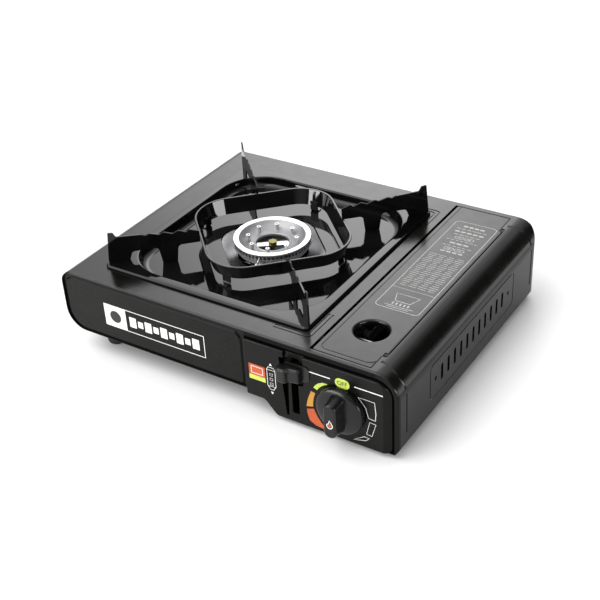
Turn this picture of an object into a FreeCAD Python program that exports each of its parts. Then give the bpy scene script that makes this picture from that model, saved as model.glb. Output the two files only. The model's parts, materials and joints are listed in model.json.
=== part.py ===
import FreeCAD, Part
import math
import os

# Portable stove for a gas cartridge that lies on its side.
# Working coordinates, in millimetres: x from the left wall, y from the front face towards the back,
# z up from the table. Every solid is shifted at the end, so that the part's origin is under its middle.

# ---- driving dimensions -------------------------------------------------------------------------
width = 343.0
depth = 275.0
deck_z = 80.0                # top of the deck above the table
knob_reach = 22.0            # how far the knob stands in front of the front face
sheet = 1.2                  # thickness of the pressed steel sheet
gap = 0.4                    # clearance between parts that move past each other

floor_left = 20.5            # underside of the burner side
floor_right = 4.5            # underside of the cartridge side
step_x = 220.0               # where the underside steps down
left_corner = 12.0           # rounding of the upper left edge
left_foot_corner = 20.0      # rounding of the lower left edge
right_corner = 22.0          # rounding of the upper right edge
plan_corner = 14.0           # rounding of the upright rear corners
feet_x = (34.0, 318.0)
feet_y = (24.0, depth - 30.0)
screw_places = ((70, 20), (70, 255), (190, 20), (190, 255))
vent_count, vent_pitch = 11, 11.9
vent_y, vent_z = 74.0, 41.5  # the frontmost slot in the right wall
vent_size = (3.0, 15.0)

pan_x, pan_y = 140.5, 133.5  # middle of the burner, pan and pot supports
pan_size = (214.0, 222.0)
bowl_size = (196.0, 204.0)
bowl_corner = 44.0
pan_top = 83.0
bowl_floor = 74.0
pan_hole = 89.4              # opening in the pan's floor: a rounded square set diagonally
pan_hole_corner = 24.6
pan_sheet = 1.0
ring_size = 130.0            # windshield ring across its flats
ring_top = 95.0
ring_corner = 34.0
ring_bottom = 80.5
ring_slope = 4.7             # how far the ring's wall leans inwards on its way down
ring_leg_r = 73.2
arm_sheet = 1.4
arm_turn_deg = 45.0          # the four pot supports stand on the pan's diagonals

burner_r = 36.0
burner_top = 84.4
port_teeth = 60
post_ring_r = 22.5           # circle that the eight hollow rivets stand on
post_top = burner_top - 0.2
electrode_deg = -75.0        # where the spark electrode stands around the burner
electrode_r = 42.0

lid_left, lid_right = 262.0, 317.2
lid_front, lid_back = 5.0, 268.0
lid_end_x = 316.0            # right edge of the lid in front of and behind the hinge
hinge_x, hinge_z = 318.4, 78.6
hinge_span = (22.0, 247.5)
barrel_r = 1.3
hinge_pin_r = 0.8
hinge_pin_length = 10.0
lug_places = (23.5, 242.5)
lug_width = 3.5
finger_hole = (292.0, 49.0)
finger_hole_r = 14.5

panel_left, panel_right = 199.5, 337.5
panel_out = 2.0              # how far the control panel stands proud of the front face
knob_x, knob_z = 292.8, 36.0
knob_r = 21.5
spindle_r = 4.0
knob_turn_deg = 135.0
striker_y, striker_r = 8.4, 1.8

lever_x, lever_z = 249.0, 58.0
lever_travel = 28.0
lever_slot_top = lever_z + 10.0
lever_slot_bottom = lever_z - lever_travel - 16.0
crank_y, crank_z = 32.0, 30.0
crank_long, crank_short = 22.0, 5.5
crank_rest_deg = 40.0
stud_r = 1.2

shield_x = 257.0             # partition between the burner and the cartridge
cartridge_x, cartridge_z = 300.0, 41.5
tube_z = 63.5
jet_end = (268.0, 31.0)      # tip of the gas jet, where the mixing tube's line starts
guide_places = (90.0, 190.0)

shift = FreeCAD.Vector(-width / 2, -(depth - knob_reach) / 2, 0)
vec = FreeCAD.Vector


# ---- helpers ------------------------------------------------------------------------------------
def box(x0, x1, y0, y1, z0, z1):
    return Part.makeBox(x1 - x0, y1 - y0, z1 - z0, vec(x0, y0, z0))


def rod(start, direction, radius, length):
    return Part.makeCylinder(radius, length, vec(*start), vec(*direction))


def cone(start, direction, r1, r2, length):
    return Part.makeCone(r1, r2, length, vec(*start), vec(*direction))


def tube(start, direction, outer, inner, length):
    return rod(start, direction, outer, length).cut(rod(start, direction, inner, length))


def rounded_wire(corners, place):
    """closed outline through corners (a, b, radius), with each corner turned into an arc"""
    edges = []
    ends = []
    count = len(corners)
    for i, (a, b, radius) in enumerate(corners):
        here = vec(a, b, 0)
        before = vec(*corners[i - 1][:2], 0).sub(here)
        after = vec(*corners[(i + 1) % count][:2], 0).sub(here)
        before.normalize()
        after.normalize()
        if radius <= 0:
            ends.append((here, here, here))
            continue
        half = before.getAngle(after) / 2
        reach = radius / math.tan(half)
        towards = before.add(after)
        towards.normalize()
        centre = here.add(towards.multiply(radius / math.sin(half)))
        out = here.sub(centre)
        out.normalize()
        ends.append((here.add(before.multiply(reach)), centre.add(out.multiply(radius)),
                     here.add(after.multiply(reach))))
    for i, (first, middle, last) in enumerate(ends):
        if first.distanceToPoint(last) > 1e-6:
            edges.append(Part.Arc(place(first), place(middle), place(last)).toShape())
        following = ends[(i + 1) % count][0]
        if last.distanceToPoint(following) > 1e-6:
            edges.append(Part.LineSegment(place(last), place(following)).toShape())
    return Part.Wire(edges)


def prism_xz(corners, y0, y1):
    wire = rounded_wire(corners, lambda p: vec(p.x, y0, p.y))
    return Part.Face(wire).extrude(vec(0, y1 - y0, 0))


def prism_xy(corners, z0, z1):
    wire = rounded_wire(corners, lambda p: vec(p.x, p.y, z0))
    return Part.Face(wire).extrude(vec(0, 0, z1 - z0))


def prism_yz(corners, x0, x1):
    wire = rounded_wire(corners, lambda p: vec(x0, p.x, p.y))
    return Part.Face(wire).extrude(vec(x1 - x0, 0, 0))


def rounded_rectangle(cx, cy, size_x, size_y, radius):
    hx, hy = size_x / 2, size_y / 2
    return [(cx - hx, cy - hy, radius), (cx + hx, cy - hy, radius),
            (cx + hx, cy + hy, radius), (cx - hx, cy + hy, radius)]


def turned(shape, degrees, centre=(pan_x, pan_y, 0), axis=(0, 0, 1)):
    copy = shape.copy()
    copy.rotate(vec(*centre), vec(*axis), degrees)
    return copy


def fused(shapes):
    whole = shapes[0]
    if len(shapes) > 1:
        whole = whole.multiFuse(shapes[1:])
    return whole.removeSplitter()


def bent_rod(route, radius):
    """round rod along straight runs joined by tangent arcs, and the length of its path"""
    runs = [vec(*p) for p in route]
    edges = []
    last = runs[0]
    for i in range(1, len(runs) - 1):
        into = runs[i - 1].sub(runs[i])
        out = runs[i + 1].sub(runs[i])
        reach = 0.45 * min(into.Length, out.Length)
        half = into.getAngle(out) / 2
        first = runs[i].add(into.normalize().multiply(reach))
        second = runs[i].add(out.normalize().multiply(reach))
        towards = into.add(out).normalize()
        bend = reach * math.tan(half)
        middle = runs[i].add(towards.multiply(reach / math.cos(half) - bend))
        edges.append(Part.LineSegment(last, first).toShape())
        edges.append(Part.Arc(first, middle, second).toShape())
        last = second
    edges.append(Part.LineSegment(last, runs[-1]).toShape())
    path = Part.Wire(edges)
    circle = Part.Wire([Part.Circle(runs[0], runs[1].sub(runs[0]), radius).toShape()])
    return path.makePipeShell([circle], True, False), path.Length


def polar(radius, degrees, cx=pan_x, cy=pan_y):
    angle = math.radians(degrees)
    return cx + radius * math.cos(angle), cy + radius * math.sin(angle)


# ---- housing ------------------------------------------------------------------------------------
def housing_outline(inset):
    """front view of the housing, moved inwards by the inset"""
    i = inset
    slant = 0.62 * i
    return [(i, deck_z - i, left_corner - i), (width - i, deck_z - i, right_corner - i),
            (width - i, 11.0 + i * 0.4, 2.0), (width - 4 - i * 0.6, floor_right + i, 2.0),
            (step_x + 6 + slant, floor_right + i, 5.0 - i), (step_x - 2 + slant, floor_left + i, 5.0 + i),
            (i, floor_left + i, left_foot_corner - i)]


def housing_block(inset, y0, y1):
    """the housing's outer form, or with an inset the space inside its sheet"""
    i = inset
    plan = [(i, y0, 0), (width - i, y0, 0), (width - i, y1, plan_corner - i), (i, y1, plan_corner - i)]
    return prism_xz(housing_outline(i), y0, y1).common(prism_xy(plan, 0, deck_z + 1))


def lid_opening():
    flat = box(lid_left - 0.7, lid_end_x + 0.7, lid_front - 0.7, lid_back + 0.7, deck_z - 8, deck_z + 5)
    hinge_slot = box(lid_end_x, hinge_x + 2.0, *hinge_span, deck_z - 4, deck_z + 5)
    return flat.fuse(hinge_slot)


def vent_slots():
    """upright slots and two small round holes in the right wall"""
    cuts = []
    for i in range(vent_count):
        outline = rounded_rectangle(vent_y + vent_pitch * i, vent_z, *vent_size, vent_size[0] / 2 - 0.05)
        cuts.append(prism_yz(outline, width - 5, width + 5))
    for y in (62.5, 206.0):
        cuts.append(rod((width - 5, y, 41.0), (1, 0, 0), 1.6, 10))
    return cuts


def housing_panels():
    """the pressed shell, in the panels that it is folded and spot-welded from"""
    shell = housing_block(0, 0, depth).cut(housing_block(sheet, -1, depth - sheet))
    shell = shell.cut(lid_opening()).cut(prism_xz(control_outline(-0.3), -1, 3.1))
    back_y = depth - plan_corner + 1
    right_x = lid_end_x + 0.7
    left_x = left_foot_corner + 1
    panels = {}
    panels["rear_wall"] = shell.common(box(-1, width + 1, back_y, depth + 1, 0, deck_z + 1))
    front_part = shell.cut(box(-1, width + 1, back_y, depth + 1, -1, deck_z + 2))
    panels["left_side_panel"] = front_part.common(box(-1, left_x, -1, depth, 0, deck_z + 1))
    side = front_part.common(box(right_x, width + 1, -1, depth, 0, deck_z + 1))
    for cut in vent_slots():
        side = side.cut(cut)
    panels["right_side_panel"] = side
    middle = front_part.common(box(left_x, right_x, -1, depth, 0, deck_z + 1))
    panels["left_floor"] = middle.common(box(0, step_x - 8, -1, depth, 0, deck_z / 2))
    panels["right_floor"] = middle.common(box(step_x - 8, width, -1, depth, 0, deck_z / 2))
    well = prism_xy(rounded_rectangle(pan_x, pan_y, bowl_size[0] + 3, bowl_size[1] + 3,
                                      bowl_corner + 1.5), deck_z - 5, deck_z + 5)
    deck = middle.common(box(0, width, -1, depth, deck_z / 2, deck_z + 1)).cut(well)
    panels["top_deck"] = deck
    return panels


def front_panel():
    """left half of the front: a raised rim around a recessed face"""
    edge = sheet + 0.1
    right = panel_left - 0.5
    outer = [(edge, deck_z - edge, left_corner - edge), (right, deck_z - edge, 0),
             (right, floor_left + edge, 0), (edge, floor_left + edge, left_foot_corner - edge)]
    face = [(4.8, deck_z - 5, 9.0), (right - 3, deck_z - 5, 9.0), (right - 3, floor_left + 4, 3.0),
            (4.8, floor_left + 4, 17.0)]
    return prism_xz(outer, 0, 3.2).cut(prism_xz(face, -1, 1.8))


def control_outline(inset):
    i = inset
    return [(panel_left + i, 73.0 - i, 2.0), (panel_right - i, 73.0 - i, 14.0),
            (panel_right - i, 4.2 + i, 5.0), (229.0 - i, 4.2 + i, 5.0),
            (217.5 - i, 17.0 + i, 5.0), (panel_left + i, 17.0 + i, 1.5)]


def lever_slot(y0, y1, clearance):
    c = clearance
    middle = (lever_slot_top + lever_slot_bottom) / 2
    height = lever_slot_top - lever_slot_bottom
    return prism_xz(rounded_rectangle(lever_x, middle, 6.2 + 2 * c, height + 2 * c, 2.5), y0, y1)


def control_panel():
    plate = prism_xz(control_outline(0), -panel_out, 2.8)
    plate = plate.cut(prism_xz(control_outline(1.6), -panel_out + 1.6, 4.0))
    plate = plate.cut(rod((knob_x, -5, knob_z), (0, 1, 0), 8.0, 12))
    return plate.cut(lever_slot(-5, 5, 0))


def front_frame():
    """stamped plate behind the control panel that carries the valve and the igniter"""
    plate = prism_xz(housing_outline(sheet + 0.2), 3.2, 4.4)
    plate = plate.common(box(panel_left + 0.3, width, 0, 10, 0, deck_z))
    header = prism_xz([(panel_left + 0.3, 78.6, 0), (322.0, 78.6, 0), (322.0, 75.0, 0),
                       (panel_left + 0.3, 75.0, 0)], 0.2, 3.2)
    plate = fused([plate, header])
    plate = plate.cut(rod((knob_x, 0, knob_z), (0, 1, 0), 12.0, 12))
    return plate.cut(lever_slot(0, 8, 0.5))


def heat_shield():
    """upright partition that keeps the burner's heat from the cartridge"""
    wall = box(shield_x, shield_x + sheet, 25.0, depth - 3, floor_right + sheet, deck_z - sheet)
    wall = wall.cut(rod((shield_x - 2, crank_y, crank_z), (1, 0, 0), 1.5, 6))
    tube_y = tube_line_y(shield_x + sheet / 2)
    return wall.cut(rod((shield_x - 2, tube_y, tube_z), (1, 0, 0), 13.0, 6))


def feet():
    """two tall feet under the burner side, two pads under the cartridge side"""
    made = {}
    for name, y in zip(("front", "rear"), feet_y):
        tall = cone((feet_x[0], y, 0), (0, 0, 1), 8.5, 10.5, floor_left)
        made["foot_%s_left" % name] = tall.makeFillet(2.5, [tall.Edges[2]])
        made["foot_%s_right" % name] = cone((feet_x[1], y, 0), (0, 0, 1), 7.5, 8.5, floor_right)
    return made


def base_screws():
    """four self-tapping screws that hold the floor, driven from below"""
    screws = []
    for x, y in screw_places:
        head = cone((x, y, floor_left - 1.6), (0, 0, 1), 2.4, 3.4, 1.6)
        screws.append(head.cut(box(x - 2.5, x + 2.5, y - 0.5, y + 0.5, floor_left - 2, floor_left - 1)))
    return Part.makeCompound(screws)


# ---- cartridge lid ------------------------------------------------------------------------------
def cartridge_lid():
    plate = prism_xy([(lid_left, lid_front, 2.0), (lid_right, lid_front, 2.0),
                      (lid_right, lid_back, 2.0), (lid_left, lid_back, 2.0)], deck_z - sheet, deck_z)
    lip = box(lid_left, lid_left + sheet, lid_front + 3, lid_back - 3, deck_z - 6, deck_z - sheet)
    front_lip = box(lid_left + 3, lid_right - 6, lid_front, lid_front + sheet, deck_z - 4.5, deck_z - sheet)
    back_lip = box(lid_left + 3, lid_right - 6, lid_back - sheet, lid_back, deck_z - 4.5, deck_z - sheet)
    fx, fy = finger_hole
    rim = tube((fx, fy, deck_z - 4), (0, 0, 1), finger_hole_r + sheet, finger_hole_r, 4)
    barrel = rod((hinge_x, 28.0, hinge_z), (0, 1, 0), barrel_r, 213.5)
    leaf = box(lid_right - 3, hinge_x, 28.0, 241.5, deck_z - sheet, deck_z - 0.1)
    hole = rod((fx, fy, deck_z - 6), (0, 0, 1), finger_hole_r, 12)
    lid = fused([plate, lip, front_lip, back_lip, barrel, leaf]).cut(hole)
    lid = fused([lid, rim])
    for y in lug_places:
        lid = lid.cut(box(hinge_x - 2.1, hinge_x + 2, y - gap, y + lug_width + gap, deck_z - 4, deck_z + 1))
    for y0, y1 in ((0, hinge_span[0] + gap), (hinge_span[1] - gap, depth)):
        lid = lid.cut(box(lid_end_x, width, y0, y1, deck_z - 4, deck_z + 1))
    return lid.cut(rod((hinge_x, 20.0, hinge_z), (0, 1, 0), hinge_pin_r, 230))


def hinge_pins():
    rear_y = lug_places[1] + lug_width - hinge_pin_length
    made = {}
    for name, y in (("front", lug_places[0]), ("rear", rear_y)):
        made["hinge_pin_" + name] = rod((hinge_x, y, hinge_z), (0, 1, 0), hinge_pin_r, hinge_pin_length)
    return made


def hinge_lugs():
    """ears on the body that the hinge pins turn in"""
    made = {}
    for name, y in zip(("front", "rear"), lug_places):
        ear = box(hinge_x - 1.6, hinge_x + 1.7, y, y + lug_width, hinge_z - 9, hinge_z + 1.3)
        arm = box(hinge_x - 1.6, width - 2.0, y, y + lug_width, hinge_z - 9, hinge_z - 7)
        arm = arm.common(housing_block(sheet + 0.05, 0, depth))
        lug = fused([ear, arm])
        made["hinge_lug_" + name] = lug.cut(rod((hinge_x, y - 1, hinge_z), (0, 1, 0),
                                                hinge_pin_r + 0.05, 8))
    return made


# ---- pan, windshield ring and pot supports ------------------------------------------------------
def drip_pan():
    t = pan_sheet
    bx, by = bowl_size
    flange = prism_xy(rounded_rectangle(pan_x, pan_y, pan_size[0], pan_size[1], 7.0), pan_top - t, pan_top)
    skirt = prism_xy(rounded_rectangle(pan_x, pan_y, pan_size[0], pan_size[1], 7.0), deck_z + 0.5, pan_top - t)
    skirt = skirt.cut(prism_xy(rounded_rectangle(pan_x, pan_y, pan_size[0] - 2 * t, pan_size[1] - 2 * t, 6.0),
                               deck_z, pan_top))
    wall = prism_xy(rounded_rectangle(pan_x, pan_y, bx, by, bowl_corner), bowl_floor - t, pan_top)
    space = prism_xy(rounded_rectangle(pan_x, pan_y, bx - 2 * t, by - 2 * t, bowl_corner - t),
                     bowl_floor, pan_top + 1)
    bowl = wall.cut(space)
    flange = flange.cut(prism_xy(rounded_rectangle(pan_x, pan_y, bx - 2 * t, by - 2 * t, bowl_corner - t),
                                 pan_top - 3, pan_top + 1))
    pan = fused([flange, skirt, bowl])
    hole = rounded_rectangle(pan_x, pan_y, pan_hole, pan_hole, pan_hole_corner)
    return pan.cut(turned(prism_xy(hole, bowl_floor - 5, bowl_floor + 5), 45))


def ring_skin(inset, z0, z1):
    """solid funnel with rounded square ends, set diagonally to the housing"""
    wires = []
    for size, corner, z in ((ring_size - 2 * ring_slope, ring_corner - ring_slope, ring_bottom),
                            (ring_size, ring_corner, ring_top)):
        corners = rounded_rectangle(pan_x, pan_y, size - 2 * inset, size - 2 * inset, corner - inset)
        wires.append(rounded_wire(corners, lambda p: vec(p.x, p.y, z)))
    funnel = Part.makeLoft(wires, True, True)
    return turned(funnel.common(box(0, width, 0, depth, z0, z1)), 45)


def windshield_ring():
    """funnel-shaped band with a rolled rim, on four short legs"""
    t = pan_sheet
    band = ring_skin(0, ring_bottom, ring_top).cut(ring_skin(t, ring_bottom - 1, ring_top + 1))
    rim = turned(prism_xy(rounded_rectangle(pan_x, pan_y, ring_size + 1.6, ring_size + 1.6,
                                            ring_corner + 0.8), ring_top - 1.6, ring_top), 45)
    rim = rim.cut(turned(prism_xy(rounded_rectangle(pan_x, pan_y, ring_size - 2.4, ring_size - 2.4,
                                                    ring_corner - 1.2), ring_top - 3, ring_top + 1), 45))
    legs = []
    reach = ring_leg_r
    for i in range(4):
        leg = box(pan_x + reach - t, pan_x + reach, pan_y - 4, pan_y + 4, bowl_floor, ring_bottom + 3)
        foot = box(pan_x + reach - t, pan_x + reach + 5, pan_y - 4, pan_y + 4, bowl_floor, bowl_floor + t)
        legs.append(turned(leg.fuse(foot), 90 * i))
    return fused([band, rim] + legs)


def pot_support(degrees):
    """one plate of the pot stand: s runs outwards from the burner, h upwards from the deck"""
    profile = [(66.0, 21.0, 0), (74.5, 23.9, 1.0), (77.5, 21.7, 1.0), (84.5, 24.5, 1.0), (90.0, 22.2, 1.0),
               (97.5, 25.0, 1.2), (101.5, 23.4, 1.0), (110.0, 25.8, 1.2), (114.0, 24.4, 1.0),
               (118.0, 26.1, 2.0), (140.0, 27.4, 1.0), (142.3, 31.8, 0.6), (147.0, 32.5, 0.8),
               (149.5, 3.1, 1.5), (130.0, 3.1, 1.5), (127.5, 10.5, 3.5), (104.0, 10.5, 4.0),
               (101.5, -5.9, 0.5), (88.0, -5.9, 0.5), (86.0, 10.0, 4.0), (66.0, 10.0, 0)]
    corners = [(pan_x + s, deck_z + h, r) for s, h, r in profile]
    plate = prism_xz(corners, pan_y - arm_sheet / 2, pan_y + arm_sheet / 2)
    return turned(plate, degrees)


# ---- burner -------------------------------------------------------------------------------------
def burner_body():
    """cast bowl that the gas rises in, with a side inlet for the mixing tube"""
    c = (pan_x, pan_y)
    bowl = rod((*c, 55.0), (0, 0, 1), 22.0, 6)
    bowl = bowl.fuse(cone((*c, 61.0), (0, 0, 1), 22.0, 33.0, 12))
    bowl = bowl.fuse(rod((*c, 73.0), (0, 0, 1), 33.0, 5))
    hollow = rod((*c, 58.0), (0, 0, 1), 17.0, 6).fuse(cone((*c, 62.5), (0, 0, 1), 19.5, 29.5, 11))
    hollow = hollow.fuse(rod((*c, 73.4), (0, 0, 1), 29.5, 6))
    dx, dy = tube_direction()
    bowl = bowl.cut(hollow)
    socket = rod((pan_x - 15 * dx, pan_y - 15 * dy, tube_z), (-dx, -dy, 0), 8.0, 16)
    inlet = rod((pan_x - 12 * dx, pan_y - 12 * dy, tube_z), (-dx, -dy, 0), 6.5, 25)
    socket = socket.cut(rod((*c, 56.0), (0, 0, 1), 18.0, 12))
    return fused([bowl, socket]).cut(inlet)


def burner_ring():
    """outer ring of the head: bright flat rim over a crown of fine ports"""
    z0 = 78.0
    ring = tube((pan_x, pan_y, z0), (0, 0, 1), burner_r, 28.0, burner_top - z0)
    ring = ring.cut(cone((pan_x, pan_y, burner_top - 4), (0, 0, 1), 27.0, 31.5, 4.01))
    slot = box(pan_x + burner_r - 1.6, pan_x + burner_r + 1, pan_y - 0.7, pan_y + 0.7, z0 - 1, z0 + 3.6)
    slots = [turned(slot, i * 360.0 / port_teeth) for i in range(port_teeth)]
    return ring.cut(Part.makeCompound(slots))


def burner_inner_cone():
    """sloping inner face between the rim and the centre opening"""
    c = (pan_x, pan_y)
    outer = cone((*c, 76.5), (0, 0, 1), 15.0, 28.0, 4.0)
    skin = outer.cut(cone((*c, 77.9), (0, 0, 1), 14.5, 27.5, 4.0))
    holes = [rod((*polar(post_ring_r, 22.5 + 45 * i), 70), (0, 0, 1), 1.9, 16) for i in range(8)]
    return skin.cut(Part.makeCompound(holes)).cut(rod((*c, 70), (0, 0, 1), 14.5, 20))


def burner_posts():
    """eight hollow rivets standing around the inner face"""
    posts = []
    for i in range(8):
        x, y = polar(post_ring_r, 22.5 + 45 * i)
        posts.append(tube((x, y, 76.0), (0, 0, 1), 1.85, 1.0, post_top - 76.0))
    return Part.makeCompound(posts)


def burner_bridge():
    bar = turned(prism_xy(rounded_rectangle(pan_x, pan_y, 38.0, 7.0, 2.0), 74.2, 75.8), 35)
    return bar.cut(rod((pan_x, pan_y, 70), (0, 0, 1), 2.1, 10))


def burner_screw():
    hexagon = [(pan_x + 4.2 * math.cos(math.radians(60 * i)), pan_y + 4.2 * math.sin(math.radians(60 * i)), 0)
               for i in range(6)]
    head = prism_xy(hexagon, 75.8, 78.6)
    return fused([head, rod((pan_x, pan_y, 58.4), (0, 0, 1), 2.0, 17.4)])


def burner_dish():
    """bright steel disc under the pan's hole that throws the heat back up"""
    disc = tube((pan_x, pan_y, 71.2), (0, 0, 1), 58.0, 32.4, 0.8)
    x, y = polar(electrode_r, electrode_deg)
    return disc.cut(rod((x, y, 70), (0, 0, 1), 3.2, 4))


def burner_bracket():
    """bent strip that holds the burner off the floor"""
    z0 = floor_left + sheet
    leg = box(pan_x - 32, pan_x - 30.5, pan_y - 12, pan_y + 12, z0, 53.5)
    other = box(pan_x + 30.5, pan_x + 32, pan_y - 12, pan_y + 12, z0, 53.5)
    top = box(pan_x - 32, pan_x + 32, pan_y - 12, pan_y + 12, 53.5, 55.0)
    feet_out = [box(pan_x - 44, pan_x - 30.5, pan_y - 12, pan_y + 12, z0, z0 + 1.5),
                box(pan_x + 30.5, pan_x + 44, pan_y - 12, pan_y + 12, z0, z0 + 1.5)]
    return fused([top, leg, other] + feet_out)


# ---- gas path -----------------------------------------------------------------------------------
def tube_direction():
    dx, dy = pan_x - jet_end[0], pan_y - jet_end[1]
    length = math.hypot(dx, dy)
    return dx / length, dy / length


def tube_line_y(x):
    dx, dy = tube_direction()
    return jet_end[1] + (x - jet_end[0]) * dy / dx


def along(distance, z):
    """a point on the gas line, counted from the tip of the jet towards the burner"""
    dx, dy = tube_direction()
    return jet_end[0] + dx * distance, jet_end[1] + dy * distance, z


def mixing_tube():
    dx, dy = tube_direction()
    way = (dx, dy, 0)
    run = math.hypot(pan_x - jet_end[0], pan_y - jet_end[1])
    z = tube_z
    outer = cone(along(-2, z), way, 9.0, 6.4, 14).fuse(rod(along(12, z), way, 6.4, run - 12 - 22))
    inner = cone(along(-2.1, z), way, 8.0, 5.2, 14.1).fuse(rod(along(11.9, z), way, 5.2, run))
    return outer.cut(inner)


def gas_jet():
    dx, dy = tube_direction()
    way = (dx, dy, 0)
    z = tube_z
    jet = rod(along(-12, z), way, 3.6, 6).fuse(cone(along(-6, z), way, 2.6, 1.4, 5))
    return fused([jet]).cut(rod(along(-13, z), way, 0.5, 14))


def regulator():
    """pressure regulator and shut-off valve behind the control panel"""
    body = box(277, 309, 15, 40, 20, 56)
    drum = rod((knob_x + 2, 27, 56), (0, 0, 1), 13.0, 11)
    dx, dy = tube_direction()
    z = tube_z
    outlet = rod(along(-30, z), (dx, dy, 0), 5.2, 18)
    snout = rod((cartridge_x, 40, cartridge_z), (0, 1, 0), 12.0, 9)
    body = body.common(prism_xz(rounded_rectangle(knob_x + 0.2, 38, 32, 36, 4), 10, 50))
    whole = fused([body, drum, outlet, snout])
    whole = whole.cut(rod((cartridge_x, 41, cartridge_z), (0, 1, 0), 6.5, 10))
    return whole.cut(rod((knob_x, 10, knob_z), (0, 1, 0), spindle_r + 0.05, 17))


def regulator_bracket():
    """angle that ties the regulator to the front frame"""
    post = box(279, 307, 12.4, 14.9, 48, 54)
    tie = box(279, 283, 4.4, 12.4, 48, 54)
    other = box(303, 307, 4.4, 12.4, 48, 54)
    return fused([post, tie, other])


def locating_collar():
    """notched plate that the cartridge's collar seats in"""
    plate = prism_xz(rounded_rectangle(cartridge_x, cartridge_z, 60, 58, 8), 46.0, 47.4)
    plate = plate.cut(rod((cartridge_x, 44, cartridge_z), (0, 1, 0), 12.2, 8))
    key = box(cartridge_x - 2, cartridge_x + 2, 47.4, 50.5, cartridge_z + 20, cartridge_z + 26)
    return fused([plate, key])


def cradle_rails():
    """two low rails that the cartridge rolls on"""
    rails = [box(x, x + 3, 60, 240, floor_right + sheet, floor_right + sheet + 5.5) for x in (278, 319)]
    return Part.makeCompound(rails)


# ---- knob, spindle and igniter ------------------------------------------------------------------
def control_knob():
    y_back = -panel_out - 1.0
    base = rod((knob_x, -7.5, knob_z), (0, 1, 0), knob_r, 7.5 + y_back)
    dome = cone((knob_x, -10.5, knob_z), (0, 1, 0), knob_r - 3.5, knob_r, 3.0)
    bar = prism_xz(rounded_rectangle(knob_x, knob_z, 13.0, 41.0, 6.4), -knob_reach, -7.5)
    bar = bar.common(rod((knob_x, -knob_reach, knob_z), (0, 1, 0), knob_r - 0.6, 16))
    knob = fused([base, dome, bar])
    return knob.cut(rod((knob_x, -14, knob_z), (0, 1, 0), spindle_r, 20))


def valve_spindle():
    return rod((knob_x, -14, knob_z), (0, 1, 0), spindle_r, 38)


def igniter_cam():
    """spiral cam: its radius grows steadily with the knob's turn, to press the striker"""
    y0, thick, base_r, rise = 6.6, 3.6, 6.4, 4.0
    points = []
    for i in range(19):
        turn = knob_turn_deg * i / 18.0
        r = base_r + rise * turn / knob_turn_deg
        a = math.radians(-turn)
        points.append(vec(knob_x + r * math.cos(a), y0, knob_z + r * math.sin(a)))
    spiral = Part.BSplineCurve()
    spiral.interpolate(points)
    back = math.radians(-knob_turn_deg - 60)
    middle = vec(knob_x + base_r * math.cos(back), y0, knob_z + base_r * math.sin(back))
    top = vec(knob_x + base_r * math.cos(2.2), y0, knob_z + base_r * math.sin(2.2))
    close = [Part.LineSegment(points[-1], middle).toShape(), Part.Arc(middle, top, points[0]).toShape()]
    face = Part.Face(Part.Wire([spiral.toShape()] + close))
    return face.extrude(vec(0, thick, 0)).cut(rod((knob_x, 0, knob_z), (0, 1, 0), spindle_r, 20))


def striker():
    """plunger that the cam pushes into the igniter"""
    return rod((knob_x + 7.0, striker_y, knob_z), (1, 0, 0), striker_r, 25)


def piezo_igniter():
    block = prism_xz(rounded_rectangle(327.5, knob_z, 21.0, 13.0, 3.0), 4.6, 16.0)
    return block.cut(rod((310, striker_y, knob_z), (1, 0, 0), striker_r + 0.1, 27))


def electrode_parts():
    x, y = polar(electrode_r, electrode_deg)
    sleeve = rod((x, y, 56), (0, 0, 1), 2.6, 22)
    inwards = math.radians(electrode_deg + 180)
    tip_x, tip_y = x + 5 * math.cos(inwards), y + 5 * math.sin(inwards)
    wire = bent_rod([(x, y, 52), (x, y, 80.5), (tip_x, tip_y, 81.5)], 0.8)[0]
    clip = box(x - 1.2, x + 1.2, y - 5, y + 5, 54.4, 56).cut(rod((x, y, 50), (0, 0, 1), 0.8, 10))
    return {"electrode_insulator": sleeve.cut(rod((x, y, 50), (0, 0, 1), 0.8, 40)),
            "ignition_electrode": wire, "electrode_clip": clip}


def ignition_lead():
    """insulated wire from the igniter, over the regulator and through the shield, to the electrode"""
    ex, ey = polar(electrode_r, electrode_deg)
    route = [(327, 11, 42.6), (327, 11, 55), (322, 12, 70.5), (300, 9, 72.5), (275, 14, 71), (262, 22, 70),
             (252, 22, 70), (236, 24, 60), (214, 34, 44), (192, 54, 36), (169, 74, 33),
             (ex, ey, 38), (ex, ey, 51.6)]
    radius = 1.5
    lead, length = bent_rod(route, radius)
    expected = math.pi * radius ** 2 * length
    print("ignition lead: volume %.0f, section times length %.0f" % (lead.Volume, expected))
    return lead


# ---- cartridge lock -----------------------------------------------------------------------------
def lock_lever():
    """finger tab, stem through the panel's slot, and a leg with a slot for the crank's stud"""
    x, z = lever_x, lever_z
    tab = prism_xz(rounded_rectangle(x + 2.5, z, 24.0, 15.0, 4.0), -12.5, -panel_out - 0.6)
    stem = box(x - 2.4, x + 2.4, -panel_out - 0.7, 9.0, z - 6.0, z + 5.0)
    cross = box(x - 2.4, 263.6, 6.6, 9.0, z - 6.0, z + 2.0)
    leg = box(261.9, 263.6, 6.6, 22.0, 36.0, z + 2.0)
    long_y = crank_y - crank_long
    slot_z = crank_z + crank_long * math.sin(math.radians(crank_rest_deg))
    slot = prism_yz(rounded_rectangle((long_y + 15.15) / 2, slot_z, 5.2 + 2 * stud_r + 1.2,
                                      2 * stud_r + 1.9, 1.9), 260, 265)
    return fused([tab, stem, cross, leg]).cut(slot)


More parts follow.
